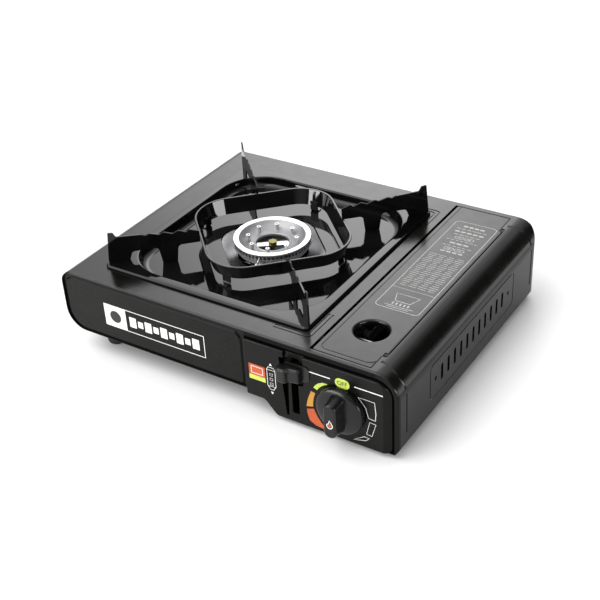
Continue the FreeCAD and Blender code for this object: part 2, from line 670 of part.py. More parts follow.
def lock_crank():
    """bell crank on the heat shield: the long arm follows the lever, the short arm draws the carriage"""
    x0, x1 = shield_x + sheet + 0.5, shield_x + sheet + 2.5
    plates = [tube((x0, crank_y, crank_z), (1, 0, 0), 4.5, 1.55, x1 - x0)]
    studs = []
    for reach, degrees in ((crank_long, 180 - crank_rest_deg), (crank_short, 90 - crank_rest_deg)):
        a = math.radians(degrees)
        ty, tz = crank_y + reach * math.cos(a), crank_z + reach * math.sin(a)
        strip = box(x0, x1, crank_y + 1.0, crank_y + reach, crank_z - 2.2, crank_z + 2.2)
        strip.rotate(vec(x0, crank_y, crank_z), vec(1, 0, 0), degrees)
        plates.append(strip.cut(rod((x0 - 1, crank_y, crank_z), (1, 0, 0), 1.55, 5)))
        plates.append(rod((x0, ty, tz), (1, 0, 0), 2.2, x1 - x0))
        studs.append(rod((x1, ty, tz), (1, 0, 0), stud_r, 2.6))
    crank = fused(plates + studs)
    return crank.cut(rod((x0 - 1, crank_y, crank_z), (1, 0, 0), 1.55, x1 - x0 + 2))


def crank_pin():
    shaft = rod((shield_x, crank_y, crank_z), (1, 0, 0), 1.5, 4.0)
    head = rod((shield_x + sheet + 2.8, crank_y, crank_z), (1, 0, 0), 2.0, 0.8)
    return fused([shaft, head])


def carriage():
    """rod along the cartridge and the pusher behind it"""
    x0 = 261.9
    a = math.radians(90 - crank_rest_deg)
    ty, tz = crank_y + crank_short * math.cos(a), crank_z + crank_short * math.sin(a)
    bar = box(x0, x0 + 1.8, ty - 4, 250, tz - 4.0, tz + 4.2)
    slot = prism_yz(rounded_rectangle(ty, tz + 0.6, 2 * stud_r + 1.2, 2 * stud_r + 2.6, 1.75), 260, 266)
    pusher = box(x0, 334, 248.4, 250, 20, 62).cut(rod((cartridge_x, 240, cartridge_z), (0, 1, 0), 9, 15))
    return fused([bar, pusher]).cut(slot)


def carriage_guides():
    """bridges on the heat shield that the carriage's rod slides through"""
    guides = []
    a = math.radians(90 - crank_rest_deg)
    tz = crank_z + crank_short * math.sin(a)
    for y in guide_places:
        outer = box(shield_x + sheet, 265.2, y, y + 8, tz - 6.2, tz + 6.4)
        guides.append(outer.cut(box(261.4, 264.2, y - 1, y + 9, tz - 4.5, tz + 4.7)))
    return Part.makeCompound(guides)


# ---- build --------------------------------------------------------------------------------------
parts = {}
parts.update(housing_panels())
parts["front_panel"] = front_panel()
parts["control_panel"] = control_panel()
parts["front_frame"] = front_frame()
parts["heat_shield"] = heat_shield()
parts.update(feet())
parts["base_screws"] = base_screws()
parts["cartridge_lid"] = cartridge_lid()
parts.update(hinge_pins())
parts.update(hinge_lugs())
parts["drip_pan"] = drip_pan()
parts["windshield_ring"] = windshield_ring()
for index, place in enumerate(("rear_right", "rear_left", "front_left", "front_right")):
    parts["pot_support_" + place] = pot_support(arm_turn_deg + 90 * index)
parts["burner_body"] = burner_body()
parts["burner_ring"] = burner_ring()
parts["burner_inner_cone"] = burner_inner_cone()
parts["burner_posts"] = burner_posts()
parts["burner_bridge"] = burner_bridge()
parts["burner_screw"] = burner_screw()
parts["burner_bracket"] = burner_bracket()
parts["burner_dish"] = burner_dish()
parts["mixing_tube"] = mixing_tube()
parts["gas_jet"] = gas_jet()
parts["regulator"] = regulator()
parts["regulator_bracket"] = regulator_bracket()
parts["locating_collar"] = locating_collar()
parts["cradle_rails"] = cradle_rails()
parts["control_knob"] = control_knob()
parts["valve_spindle"] = valve_spindle()
parts["igniter_cam"] = igniter_cam()
parts["striker"] = striker()
parts["piezo_igniter"] = piezo_igniter()
parts.update(electrode_parts())
parts["ignition_lead"] = ignition_lead()
parts["lock_lever"] = lock_lever()
parts["lock_crank"] = lock_crank()
parts["crank_pin"] = crank_pin()
parts["carriage"] = carriage()
parts["carriage_guides"] = carriage_guides()

os.makedirs("parts", exist_ok=True)
for name in sorted(parts):
    shape = parts[name].copy()
    shape.translate(shift)
    solids = shape.Solids
    print("%-26s solids %d  volume %9.1f  valid %s" % (name, len(solids), shape.Volume, shape.isValid()))
    if len(solids) == 1:
        shape = solids[0]
    shape.exportStep("parts/%s.step" % name)
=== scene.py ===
import json
import math

import bmesh
import bpy
from mathutils import Matrix, Vector


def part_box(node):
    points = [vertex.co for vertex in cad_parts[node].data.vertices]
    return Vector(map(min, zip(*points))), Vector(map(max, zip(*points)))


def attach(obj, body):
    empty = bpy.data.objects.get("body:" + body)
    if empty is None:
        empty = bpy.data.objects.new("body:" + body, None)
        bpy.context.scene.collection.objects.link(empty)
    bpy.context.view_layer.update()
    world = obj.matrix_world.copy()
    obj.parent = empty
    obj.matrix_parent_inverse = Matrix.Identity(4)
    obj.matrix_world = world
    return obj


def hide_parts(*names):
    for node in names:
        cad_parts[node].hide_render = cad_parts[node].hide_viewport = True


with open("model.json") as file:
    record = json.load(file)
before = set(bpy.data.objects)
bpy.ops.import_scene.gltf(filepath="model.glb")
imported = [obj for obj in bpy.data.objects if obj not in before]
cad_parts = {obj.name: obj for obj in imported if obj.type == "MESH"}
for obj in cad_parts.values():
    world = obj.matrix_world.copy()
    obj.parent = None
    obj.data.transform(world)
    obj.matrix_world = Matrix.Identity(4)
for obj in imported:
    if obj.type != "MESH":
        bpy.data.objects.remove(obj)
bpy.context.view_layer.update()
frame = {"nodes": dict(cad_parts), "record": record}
nodes = frame["nodes"]
mm = 0.001

print("frame loaded:", len(nodes), "nodes")

# the camera stands to the front right and above, in millimetres and degrees
camera = {"target": (19.64, -28.67, 50.0), "distance": 1016.47, "azimuth": 34.11,
          "elevation": 33.07, "roll": -3.35, "lens": 68.63}


def makeCamera(c):
    az, el, roll = (math.radians(c[k]) for k in ("azimuth", "elevation", "roll"))
    back = Vector((math.sin(az) * math.cos(el), -math.cos(az) * math.cos(el), math.sin(el)))
    right = (-back).cross(Vector((0, 0, 1))).normalized()
    up = right.cross(-back)
    turnedRight = right * math.cos(roll) + up * math.sin(roll)
    turnedUp = -right * math.sin(roll) + up * math.cos(roll)
    data = bpy.data.cameras.new("Camera")
    data.lens = c["lens"]
    data.sensor_width = 36
    data.clip_end = 60
    ob = bpy.data.objects.new("Camera", data)
    bpy.context.scene.collection.objects.link(ob)
    place = Matrix((turnedRight, turnedUp, back)).transposed().to_4x4()
    place.translation = (Vector(c["target"]) + back * c["distance"]) * mm
    ob.matrix_world = place
    bpy.context.scene.camera = ob


makeCamera(camera)

# soft white studio: a dome, a brighter glow at the rear left, two softboxes and one wide top light
studio = {"floor": (0.84, 0.84, 0.84), "floorSize": 60.0,
          "dome": ((0.0, 0.5), (0.5, 0.03), (0.835, 0.03), (0.894, 0.9), (1.0, 1.3)),
          "glowAt": (-0.433, 0.75, 0.5), "glowFrom": 0.6,
          "glow": ((0.0, 0.0), (0.25, 0.03), (0.575, 0.5), (0.8, 1.0), (0.925, 1.4), (0.95, 1.9),
                   (0.975, 3.0), (1.0, 4.4)),
          "backFill": {"towards": (0.2, -0.75, 0.63), "from": 0.72, "to": 0.95, "level": 0.5},
          "topSun": {"from": (-0.47, -0.4, 0.78), "angle": 58, "power": 2.2},
          "boxSize": (1.05, 0.34), "boxAim": (0.0, 0.0, 0.05),
          "boxes": ({"name": "frontSoftbox", "at": (-0.704, -1.324, 0.26), "power": 14.0},
                    {"name": "sideSoftbox", "at": (1.472, -0.286, 0.26), "power": 11.0})}


def makeLamp(c):
    data = bpy.data.lights.new(c["name"], "AREA")
    data.shape = "RECTANGLE"
    data.size, data.size_y = studio["boxSize"]
    data.energy = c["power"]
    ob = bpy.data.objects.new(c["name"], data)
    bpy.context.scene.collection.objects.link(ob)
    ob.location = c["at"]
    aim = Vector(studio["boxAim"]) - Vector(c["at"])
    ob.rotation_euler = aim.to_track_quat("-Z", "Y").to_euler()
    ob.visible_camera = False


def levels(tree, source, stops):
    node = tree.nodes.new("ShaderNodeValToRGB")
    elements = node.color_ramp.elements
    while len(elements) < len(stops):
        elements.new(0.5)
    for element, (place, level) in zip(elements, stops):
        element.position = place
        element.color = (level, level, level, 1)
    tree.links.new(source, node.inputs["Fac"])
    return node.outputs["Color"]


def facing(tree, coord, towards, start, end=1.0, level=1.0, soft="LINEAR"):
    dot = tree.nodes.new("ShaderNodeVectorMath")
    dot.operation = "DOT_PRODUCT"
    dot.inputs[1].default_value = Vector(towards).normalized()
    tree.links.new(coord.outputs["Generated"], dot.inputs[0])
    spread = tree.nodes.new("ShaderNodeMapRange")
    spread.interpolation_type = soft
    spread.inputs["From Min"].default_value = start
    spread.inputs["From Max"].default_value = end
    spread.inputs["To Max"].default_value = level
    tree.links.new(dot.outputs["Value"], spread.inputs["Value"])
    return spread.outputs["Result"]


def combined(tree, one, two, how="ADD"):
    node = tree.nodes.new("ShaderNodeMath")
    node.operation = how
    tree.links.new(one, node.inputs[0])
    tree.links.new(two, node.inputs[1])
    return node.outputs["Value"]


def makeStudio(c):
    world = bpy.data.worlds.new("Studio")
    world.use_nodes = True
    tree = world.node_tree
    back = tree.nodes["Background"]
    back.inputs["Color"].default_value = (1, 1, 1, 1)
    coord = tree.nodes.new("ShaderNodeTexCoord")
    dome = levels(tree, facing(tree, coord, (0, 0, 1), -1), c["dome"])
    glow = levels(tree, facing(tree, coord, c["glowAt"], c["glowFrom"]), c["glow"])
    fill = c["backFill"]
    front = facing(tree, coord, fill["towards"], fill["from"], fill["to"], fill["level"], "SMOOTHSTEP")
    light = combined(tree, combined(tree, dome, glow), front)
    seen = tree.nodes.new("ShaderNodeLightPath")  # the backdrop itself shows plain white
    shown = combined(tree, light, seen.outputs["Is Camera Ray"], "MAXIMUM")
    tree.links.new(shown, back.inputs["Strength"])
    scene = bpy.context.scene
    scene.world = world
    scene.view_settings.view_transform = "Standard"
    for box in c["boxes"]:
        makeLamp(box)
    sun = bpy.data.lights.new("topLight", "SUN")
    sun.energy = c["topSun"]["power"]
    sun.angle = math.radians(c["topSun"]["angle"])
    sunOb = bpy.data.objects.new("topLight", sun)
    sunOb.rotation_euler = Vector(c["topSun"]["from"]).to_track_quat("Z", "Y").to_euler()
    scene.collection.objects.link(sunOb)
    bm = bmesh.new()
    bmesh.ops.create_grid(bm, x_segments=1, y_segments=1, size=c["floorSize"] / 2)
    mesh = bpy.data.meshes.new("floor")
    bm.to_mesh(mesh)
    bm.free()
    floor = bpy.data.objects.new("floor", mesh)
    scene.collection.objects.link(floor)
    mat = bpy.data.materials.new("paleFloor")
    mat.use_nodes = True
    shader = mat.node_tree.nodes["Principled BSDF"]
    shader.inputs["Base Color"].default_value = (*c["floor"], 1)
    shader.inputs["Roughness"].default_value = 0.7
    shader.inputs["Specular IOR Level"].default_value = 0.1
    mesh.materials.append(mat)


makeStudio(studio)
print("camera and studio ready")


def newMaterial(name, colour, roughness, metallic=0.0, specular=0.5):
    mat = bpy.data.materials.new(name)
    mat.use_nodes = True
    shader = mat.node_tree.nodes["Principled BSDF"]
    shader.inputs["Base Color"].default_value = (*colour, 1)
    shader.inputs["Roughness"].default_value = roughness
    shader.inputs["Metallic"].default_value = metallic
    shader.inputs["Specular IOR Level"].default_value = specular
    return mat, mat.node_tree, shader


def noise(tree, scale, detail=4, stretch=(1, 1, 1)):
    coord = tree.nodes.new("ShaderNodeTexCoord")
    mapping = tree.nodes.new("ShaderNodeMapping")
    mapping.inputs["Scale"].default_value = stretch
    tex = tree.nodes.new("ShaderNodeTexNoise")
    tex.inputs["Scale"].default_value = scale
    tex.inputs["Detail"].default_value = detail
    tree.links.new(coord.outputs["Object"], mapping.inputs["Vector"])
    tree.links.new(mapping.outputs["Vector"], tex.inputs["Vector"])
    return tex.outputs["Fac"]


def ramp(tree, source, low, high, start=0.35, end=0.65):
    node = tree.nodes.new("ShaderNodeValToRGB")
    node.color_ramp.elements[0].position = start
    node.color_ramp.elements[0].color = (*low, 1)
    node.color_ramp.elements[1].position = end
    node.color_ramp.elements[1].color = (*high, 1)
    tree.links.new(source, node.inputs["Fac"])
    return node.outputs["Color"]


def span(tree, source, low, high):
    node = tree.nodes.new("ShaderNodeMapRange")
    node.inputs["To Min"].default_value = low
    node.inputs["To Max"].default_value = high
    tree.links.new(source, node.inputs["Value"])
    return node.outputs["Result"]


def bump(tree, shader, source, distance, strength=1.0):
    node = tree.nodes.new("ShaderNodeBump")
    node.inputs["Distance"].default_value = distance
    node.inputs["Strength"].default_value = strength
    tree.links.new(source, node.inputs["Height"])
    tree.links.new(node.outputs["Normal"], shader.inputs["Normal"])


def stovePaint(name, dark, light, rough, specular):
    mat, tree, shader = newMaterial(name, dark, rough, 0, specular)
    tree.links.new(ramp(tree, noise(tree, 35, 6), dark, light), shader.inputs["Base Color"])
    tree.links.new(span(tree, noise(tree, 90, 3), rough - 0.05, rough + 0.06), shader.inputs["Roughness"])
    bump(tree, shader, noise(tree, 3000, 2), 0.00002, 0.3)
    return mat


def enamel(name, specular):
    mat, tree, shader = newMaterial(name, (0.004, 0.004, 0.0045), 0.05, 0, specular)
    tree.links.new(ramp(tree, noise(tree, 20, 3), (0.002, 0.002, 0.0022), (0.005, 0.005, 0.0052)),
                   shader.inputs["Base Color"])
    tree.links.new(span(tree, noise(tree, 60, 3), 0.03, 0.08), shader.inputs["Roughness"])
    bump(tree, shader, noise(tree, 110, 2), 0.00015, 0.12)
    return mat


def metal(name, colour, rough, grain=(1, 1, 1), grainScale=400, depth=0.00004, metallic=1.0):
    mat, tree, shader = newMaterial(name, colour, rough, metallic)
    low = tuple(0.86 * v for v in colour)
    tone = ramp(tree, noise(tree, grainScale / 6, 5, grain), low, colour)
    tree.links.new(tone, shader.inputs["Base Color"])
    tree.links.new(span(tree, noise(tree, grainScale, 4, grain), rough - 0.06, rough + 0.08),
                   shader.inputs["Roughness"])
    bump(tree, shader, noise(tree, grainScale, 3, grain), depth, 0.5)
    return mat


def plastic(name, colour, rough, grain=2200, specular=0.5):
    mat, tree, shader = newMaterial(name, colour, rough, 0, specular)
    high = tuple(min(1, 1.6 * v + 0.001) for v in colour)
    tree.links.new(ramp(tree, noise(tree, 40, 4), colour, high), shader.inputs["Base Color"])
    tree.links.new(span(tree, noise(tree, 150, 3), rough - 0.05, rough + 0.06), shader.inputs["Roughness"])
    bump(tree, shader, noise(tree, grain, 2), 0.00005, 0.4)
    return mat


def printInk(name, colour):
    mat, tree, shader = newMaterial(name, colour, 0.45, 0, 0.3)
    low = tuple(0.88 * v for v in colour)
    tree.links.new(ramp(tree, noise(tree, 300, 5), low, colour, 0.3, 0.5), shader.inputs["Base Color"])
    tree.links.new(span(tree, noise(tree, 500, 2), 0.38, 0.52), shader.inputs["Roughness"])
    return mat


deckPaint = stovePaint("deckPaint", (0.002, 0.0019, 0.0017), (0.004, 0.0038, 0.0034), 0.2, 0.44)
lidPaint = stovePaint("lidPaint", (0.003, 0.0028, 0.0026), (0.005, 0.0047, 0.0044), 0.21, 0.42)
# painted shade: a low-sheen copy of the stove paint for the walls, rims and bent margins, so they read darker
# than the deck
shadedSidePaint = stovePaint("shadedSidePaint", (0.0025, 0.0023, 0.002), (0.0045, 0.0042, 0.0038), 0.24, 0.12)
panelPaint = stovePaint("panelPaint", (0.003, 0.0028, 0.0025), (0.005, 0.0047, 0.0042), 0.26, 0.15)
# painted shade: a near-black dull paint that stands in for the shadow inside the front gaps
gapShadePaint = stovePaint("gapShadePaint", (0.0015, 0.0015, 0.0015), (0.003, 0.003, 0.003), 0.6, 0.1)
blackEnamel = enamel("blackEnamel", 0.34)
ringEnamel = enamel("ringEnamel", 0.5)
supportEnamel = enamel("supportEnamel", 0.35)
castAluminium = metal("castAluminium", (0.34, 0.34, 0.35), 0.42, (1, 1, 1), 900, 0.00004, 0.65)
brightRim = metal("brightRim", (0.8, 0.8, 0.79), 0.3, (1, 1, 1), 700, 0.00003, 0.8)
satinSteel = metal("satinSteel", (0.56, 0.56, 0.55), 0.3, (1, 12, 1), 300)
brass = metal("brass", (0.26, 0.23, 0.09), 0.38)
zincPlate = metal("zincPlate", (0.24, 0.24, 0.25), 0.27, (1, 6, 1), 220, 0.00003, 1.0)
dieCast = metal("dieCast", (0.45, 0.45, 0.46), 0.5, (1, 1, 1), 1200, 0.0001)
knobPlastic = plastic("knobPlastic", (0.0025, 0.0025, 0.0027), 0.22, 3000, 0.3)
leverPlastic = plastic("leverPlastic", (0.003, 0.003, 0.003), 0.3, 3000, 0.35)
igniterPlastic = plastic("igniterPlastic", (0.28, 0.03, 0.02), 0.35)
footRubber = plastic("footRubber", (0.008, 0.008, 0.008), 0.6, 900, 0.3)
whiteCeramic = plastic("whiteCeramic", (0.8, 0.78, 0.72), 0.25)
leadSleeve = plastic("leadSleeve", (0.45, 0.04, 0.03), 0.45)
whiteInk = printInk("whiteInk", (0.78, 0.78, 0.76))
greyInk = printInk("greyInk", (0.42, 0.41, 0.41))
limeInk = printInk("limeInk", (0.5, 0.6, 0.1))
amberInk = printInk("amberInk", (0.5, 0.24, 0.035))
redInk = printInk("redInk", (0.47, 0.085, 0.025))
darkInk = printInk("darkInk", (0.02, 0.02, 0.018))

slotMaterials = {
    "housing_paint": shadedSidePaint, "panel_paint": panelPaint, "lid_paint": lidPaint, "enamel": blackEnamel,
    "ring_enamel": ringEnamel, "support_enamel": supportEnamel, "burner_cast": castAluminium,
    "burner_rim": brightRim, "steel": satinSteel, "brass": brass, "zinc_plate": zincPlate,
    "die_cast": dieCast, "knob_plastic": knobPlastic, "lever_plastic": leverPlastic,
    "igniter_plastic": igniterPlastic, "rubber": footRubber, "ceramic": whiteCeramic,
    "lead_cover": leadSleeve}


def finishNode(ob, mat):
    ob.data.materials.clear()
    ob.data.materials.append(mat)
    ob.data.polygons.foreach_set("use_smooth", [True] * len(ob.data.polygons))
    weld = ob.modifiers.new("weld", "WELD")
    weld.merge_threshold = 0.00001
    split = ob.modifiers.new("hardEdges", "EDGE_SPLIT")
    split.split_angle = math.radians(30)
    weighted = ob.modifiers.new("flatFaces", "WEIGHTED_NORMAL")
    weighted.keep_sharp = True
    weighted.weight = 80


for part in frame["record"]["subparts"]:
    finishNode(nodes[part["node"]], slotMaterials[part["material_slot"]])
nodes["front_frame"].data.materials[0] = gapShadePaint  # painted shade: the inner frame is seen only through the gaps of the front, and its near-black dull paint stands in for the shadow in those gaps
print("CAD nodes finished")


# shapes are drawn in millimetres from the housing's front left corner on the table
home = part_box("left_side_panel")[0]
homeCorner = Vector((home[0], home[1], 0))


def boxMm(*names):
    lows, highs = zip(*(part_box(name) for name in names))
    low = Vector([min(v[i] for v in lows) for i in range(3)]) - homeCorner
    high = Vector([max(v[i] for v in highs) for i in range(3)]) - homeCorner
    return low / mm, high / mm


def newPiece(name, bm, mat, body, replaced=(), sharp=30, sideMat=None):
    bmesh.ops.remove_doubles(bm, verts=bm.verts, dist=0.0004)
    bmesh.ops.recalc_face_normals(bm, faces=bm.faces)
    bmesh.ops.transform(bm, matrix=Matrix.Translation(homeCorner) @ Matrix.Scale(mm, 4), verts=bm.verts)
    mesh = bpy.data.meshes.new(name)
    bm.to_mesh(mesh)
    bm.free()
    mesh.materials.append(mat)
    if sideMat:
        mesh.materials.append(sideMat)
    mesh.polygons.foreach_set("use_smooth", [True] * len(mesh.polygons))
    mesh.set_sharp_from_angle(angle=math.radians(sharp))
    ob = bpy.data.objects.new(name, mesh)
    bpy.context.scene.collection.objects.link(ob)
    weighted = ob.modifiers.new("flatFaces", "WEIGHTED_NORMAL")
    weighted.keep_sharp = True
    weighted.weight = 70
    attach(ob, body)
    if replaced:
        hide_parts(*replaced)
    return ob


def inPlane(axis):
    return {"x": lambda a, b, c: (c, a, b),
            "y": lambda a, b, c: (a, c, b),
            "z": lambda a, b, c: (a, b, c)}[axis]


def outlineFace(corners, axis, level, steps):  # corners are (a, b, radius)
    bm = bmesh.new()
    place = inPlane(axis)
    verts = [bm.verts.new(place(a, b, level)) for a, b, radius in corners]
    bm.faces.new(verts)
    count = len(corners)
    for i, (a, b, radius) in enumerate(corners):
        if radius <= 0:
            continue
        here = Vector((a, b))
        before = Vector(corners[i - 1][:2]) - here
        after = Vector(corners[(i + 1) % count][:2]) - here
        reach = radius / math.tan(before.angle(after) / 2)
        bmesh.ops.bevel(bm, geom=[verts[i]], offset=reach, segments=steps, profile=0.5, affect="VERTICES",
                        material=-1)
    return bm


def prism(corners, axis, start, end, steps=8, edge=0.0, edgeSteps=3, backEdge=0.0):
    bm = outlineFace(corners, axis, start, steps)
    grown = bmesh.ops.extrude_face_region(bm, geom=bm.faces[:])["geom"]
    moved = [v for v in grown if isinstance(v, bmesh.types.BMVert)]
    push = Vector(inPlane(axis)(0, 0, end - start))
    bmesh.ops.translate(bm, vec=push, verts=moved)
    bmesh.ops.recalc_face_normals(bm, faces=bm.faces)
    index = "xyz".index(axis)
    for level, width in ((start, edge), (end, backEdge)):
        if width > 0:
            rim = [e for e in bm.edges if all(abs(v.co[index] - level) < 1e-4 for v in e.verts)]
            bmesh.ops.bevel(bm, geom=rim, offset=width, segments=edgeSteps, profile=0.5, affect="EDGES",
                            material=-1, clamp_overlap=True)
    return bm


def rectangle(a, b, sizeA, sizeB, radius):
    return [(a - sizeA / 2, b - sizeB / 2, radius), (a + sizeA / 2, b - sizeB / 2, radius),
            (a + sizeA / 2, b + sizeB / 2, radius), (a - sizeA / 2, b + sizeB / 2, radius)]


def join(bm, *others):
    for other in others:
        mesh = bpy.data.meshes.new("joined")
        other.to_mesh(mesh)
        other.free()
        bm.from_mesh(mesh)
        bpy.data.meshes.remove(mesh)
    return bm


def tempObject(bm):
    mesh = bpy.data.meshes.new("temp")
    bm.to_mesh(mesh)
    bm.free()
    ob = bpy.data.objects.new("temp", mesh)
    bpy.context.scene.collection.objects.link(ob)
    return ob


def evaluated(ob):
    deps = bpy.context.evaluated_depsgraph_get()
    deps.update()
    mesh = bpy.data.meshes.new_from_object(ob.evaluated_get(deps), depsgraph=deps)
    bm = bmesh.new()
    bm.from_mesh(mesh)
    bpy.data.meshes.remove(mesh)
    return bm


def carve(bm, tool, operation="DIFFERENCE"):
    target, cutter = tempObject(bm), tempObject(tool)
    change = target.modifiers.new("carve", "BOOLEAN")
    change.operation = operation
    change.solver = "EXACT"
    change.object = cutter
    result = evaluated(target)
    for ob in (target, cutter):
        bpy.data.objects.remove(ob)
    return result


def stroke(path, radius, closed=False, sides=2):
    data = bpy.data.curves.new("stroke", "CURVE")
    data.dimensions = "3D"
    data.bevel_depth = radius
    data.bevel_resolution = sides
    data.use_fill_caps = True
    line = data.splines.new("POLY")
    line.points.add(len(path) - 1)
    for point, co in zip(line.points, path):
        point.co = (*co, 1)
    line.use_cyclic_u = closed
    ob = bpy.data.objects.new("stroke", data)
    bpy.context.scene.collection.objects.link(ob)
    bm = evaluated(ob)
    bpy.data.objects.remove(ob)
    return bm


def softPath(corners, axis, level, steps=5):  # the points of an outline with rounded corners
    bm = outlineFace(corners, axis, level, steps)
    loop = [v.co.copy() for v in bm.faces[:][0].verts]
    bm.free()
    return loop


def spun(profile, centre, axis="z", steps=96):  # profile is a closed loop of (radius, level)
    bm = bmesh.new()
    place = {"z": lambda r, h: (r, 0, h), "y": lambda r, h: (r, h, 0)}[axis]
    verts = [bm.verts.new(place(r, h)) for r, h in profile]
    edges = [bm.edges.new(pair) for pair in zip(verts, verts[1:] + verts[:1])]
    bmesh.ops.spin(bm, geom=verts + edges, cent=(0, 0, 0), axis=inPlane(axis)(0, 0, 1),
                   dvec=(0, 0, 0), angle=math.tau, steps=steps, use_merge=True)
    bmesh.ops.remove_doubles(bm, verts=bm.verts, dist=0.001)
    bmesh.ops.translate(bm, vec=centre, verts=bm.verts)
    return bm


def loft(rings, steps, turn=0.0, centre=(0, 0), capped=True, ringClosed=False):
    # each ring is (sizeX, sizeY, radius, z)
    bm = bmesh.new()
    loops = []
    for sizeX, sizeY, radius, z in rings:
        flat = outlineFace(rectangle(0, 0, sizeX, sizeY, radius), "z", z, steps)
        known = len(bm.edges)
        join(bm, flat)
        bm.edges.ensure_lookup_table()
        loops.append(bm.edges[known:])
    flats = bm.faces[:]
    keep = {flats[0], flats[-1]} if capped else set()
    bmesh.ops.delete(bm, geom=[f for f in flats if f not in keep], context="FACES_ONLY")
    pairs = list(zip(loops, loops[1:])) + ([(loops[-1], loops[0])] if ringClosed else [])
    for one, two in pairs:
        bmesh.ops.bridge_loops(bm, edges=list(one) + list(two))
    spin = Matrix.Translation((*centre, 0)) @ Matrix.Rotation(math.radians(turn), 4, "Z")
    bmesh.ops.transform(bm, matrix=spin, verts=bm.verts)
    return bm


housing = {"sheet": 1.2, "leftTop": 12.0, "leftFoot": 20.0, "rightTop": 22.0, "rearCorner": 14.0,
           "stepX": 220.0, "floorLeft": 20.5, "floorRight": 4.5, "edge": 0.9,
           "seamPlaces": (12.6, 257.4), "seamRadius": 2.6, "seamLift": 1.9, "wallGroove": (60.0, 22.0),
           "grooveRadius": 1.6, "grooveLift": 0.9,
           "hemY": 1.7, "hemRadius": 0.8, "hemLift": 0.4, "panHole": (199.0, 207.0, 45.5),
           "lidGap": (1.6, 0.8), "lidHoleX": 316.5, "hingeHoleX": 320.4, "hingeHoleY": (22.0, 247.5)}
housingLow, housingHigh = boxMm("left_side_panel", "right_side_panel", "rear_wall", "top_deck")
width, depth, deckZ = housingHigh
panLow, panHigh = boxMm("drip_pan")
panX, panY = (panLow.x + panHigh.x) / 2, (panLow.y + panHigh.y) / 2
lidLow, lidHigh = boxMm("cartridge_lid")


def housingOutline(i):
    h = housing
    slant = 0.62 * i
    return [(i, deckZ - i, h["leftTop"] - i), (width - i, deckZ - i, h["rightTop"] - i),
            (width - i, 11.0 + i * 0.4, 2.0), (width - 4 - i * 0.6, h["floorRight"] + i, 2.0),
            (h["stepX"] + 6 + slant, h["floorRight"] + i, 5.0 - i),
            (h["stepX"] - 2 + slant, h["floorLeft"] + i, 5.0 + i),
            (i, h["floorLeft"] + i, h["leftFoot"] - i)]


def planBlock(i):
    corners = [(i, -10, 0), (width - i, -10, 0), (width - i, depth - i, housing["rearCorner"] - i),
               (i, depth - i, housing["rearCorner"] - i)]
    return prism(corners, "z", -5, deckZ + 10, 10)


def shoulderTools():  # pressed seams that run over the right shoulder and down the wall
    h = housing
    radius = h["rightTop"] + h["seamLift"]
    centreX, centreZ = width - h["rightTop"], deckZ - h["rightTop"]
    tools = []
    for y in h["seamPlaces"]:
        inwards = math.copysign(3.0, depth / 2 - y)
        path = [(centreX + radius * math.sin(math.radians(a)), y + inwards * max(0, 1 - a / 25),
                 centreZ + radius * math.cos(math.radians(a))) for a in range(-4, 80, 6)]
        tools.append(stroke(path, h["seamRadius"], sides=2))
        high, low = h["wallGroove"]
        x = width + h["grooveLift"]
        tools.append(stroke([(x, y, high), (x, y, low)], h["grooveRadius"], sides=2))
    hem = softPath(housingOutline(-h["hemLift"]), "y", h["hemY"], 10)
    tools.append(stroke(hem, h["hemRadius"], True, 1))
    return tools


deckMarks = {"line": 1.0, "lift": 0.3, "offset": 2.6, "pitch": 3.6, "reach": (32.0, 34.0), "step": 3.0}


def grooveTools():
    d = deckMarks
    level = deckZ + d["lift"]
    tools = []
    for k in range(2):  # two nested corner lines at the front and the rear
        x = panHigh.x + d["offset"] + d["pitch"] * k
        for sign, edge in ((-1, panLow.y), (1, panHigh.y)):
            y = edge + sign * (d["offset"] + d["pitch"] * k)
            start = x - d["reach"][0] - d["step"] * k
            back = y - sign * (d["reach"][1] + d["step"] * k)
            path = [(start, y, level), (x - 5, y, level), (x - 2.4, y - sign * 0.7, level),
                    (x - 0.7, y - sign * 2.4, level), (x, y - sign * 5, level), (x, back, level)]
            tools.append(stroke(path, d["line"], sides=1))
    return join(*tools)


vents = {"count": 11, "first": 74.0, "pitch": 11.9, "z": 41.5, "size": (4.0, 15.5, 1.45),
         "marks": (62.5, 206.0), "markSize": (3.8, 3.8, 1.85), "field": (53.0, 217.0, 24.0, 58.0),
         "line": 0.9, "lift": 0.3}


def ventTools():
    v = vents
    shapes = [rectangle(v["first"] + v["pitch"] * i, v["z"], *v["size"]) for i in range(v["count"])]
    shapes += [rectangle(y, v["z"], *v["markSize"]) for y in v["marks"]]
    return join(*(prism(shape, "x", width - 6, width + 4, 4) for shape in shapes))


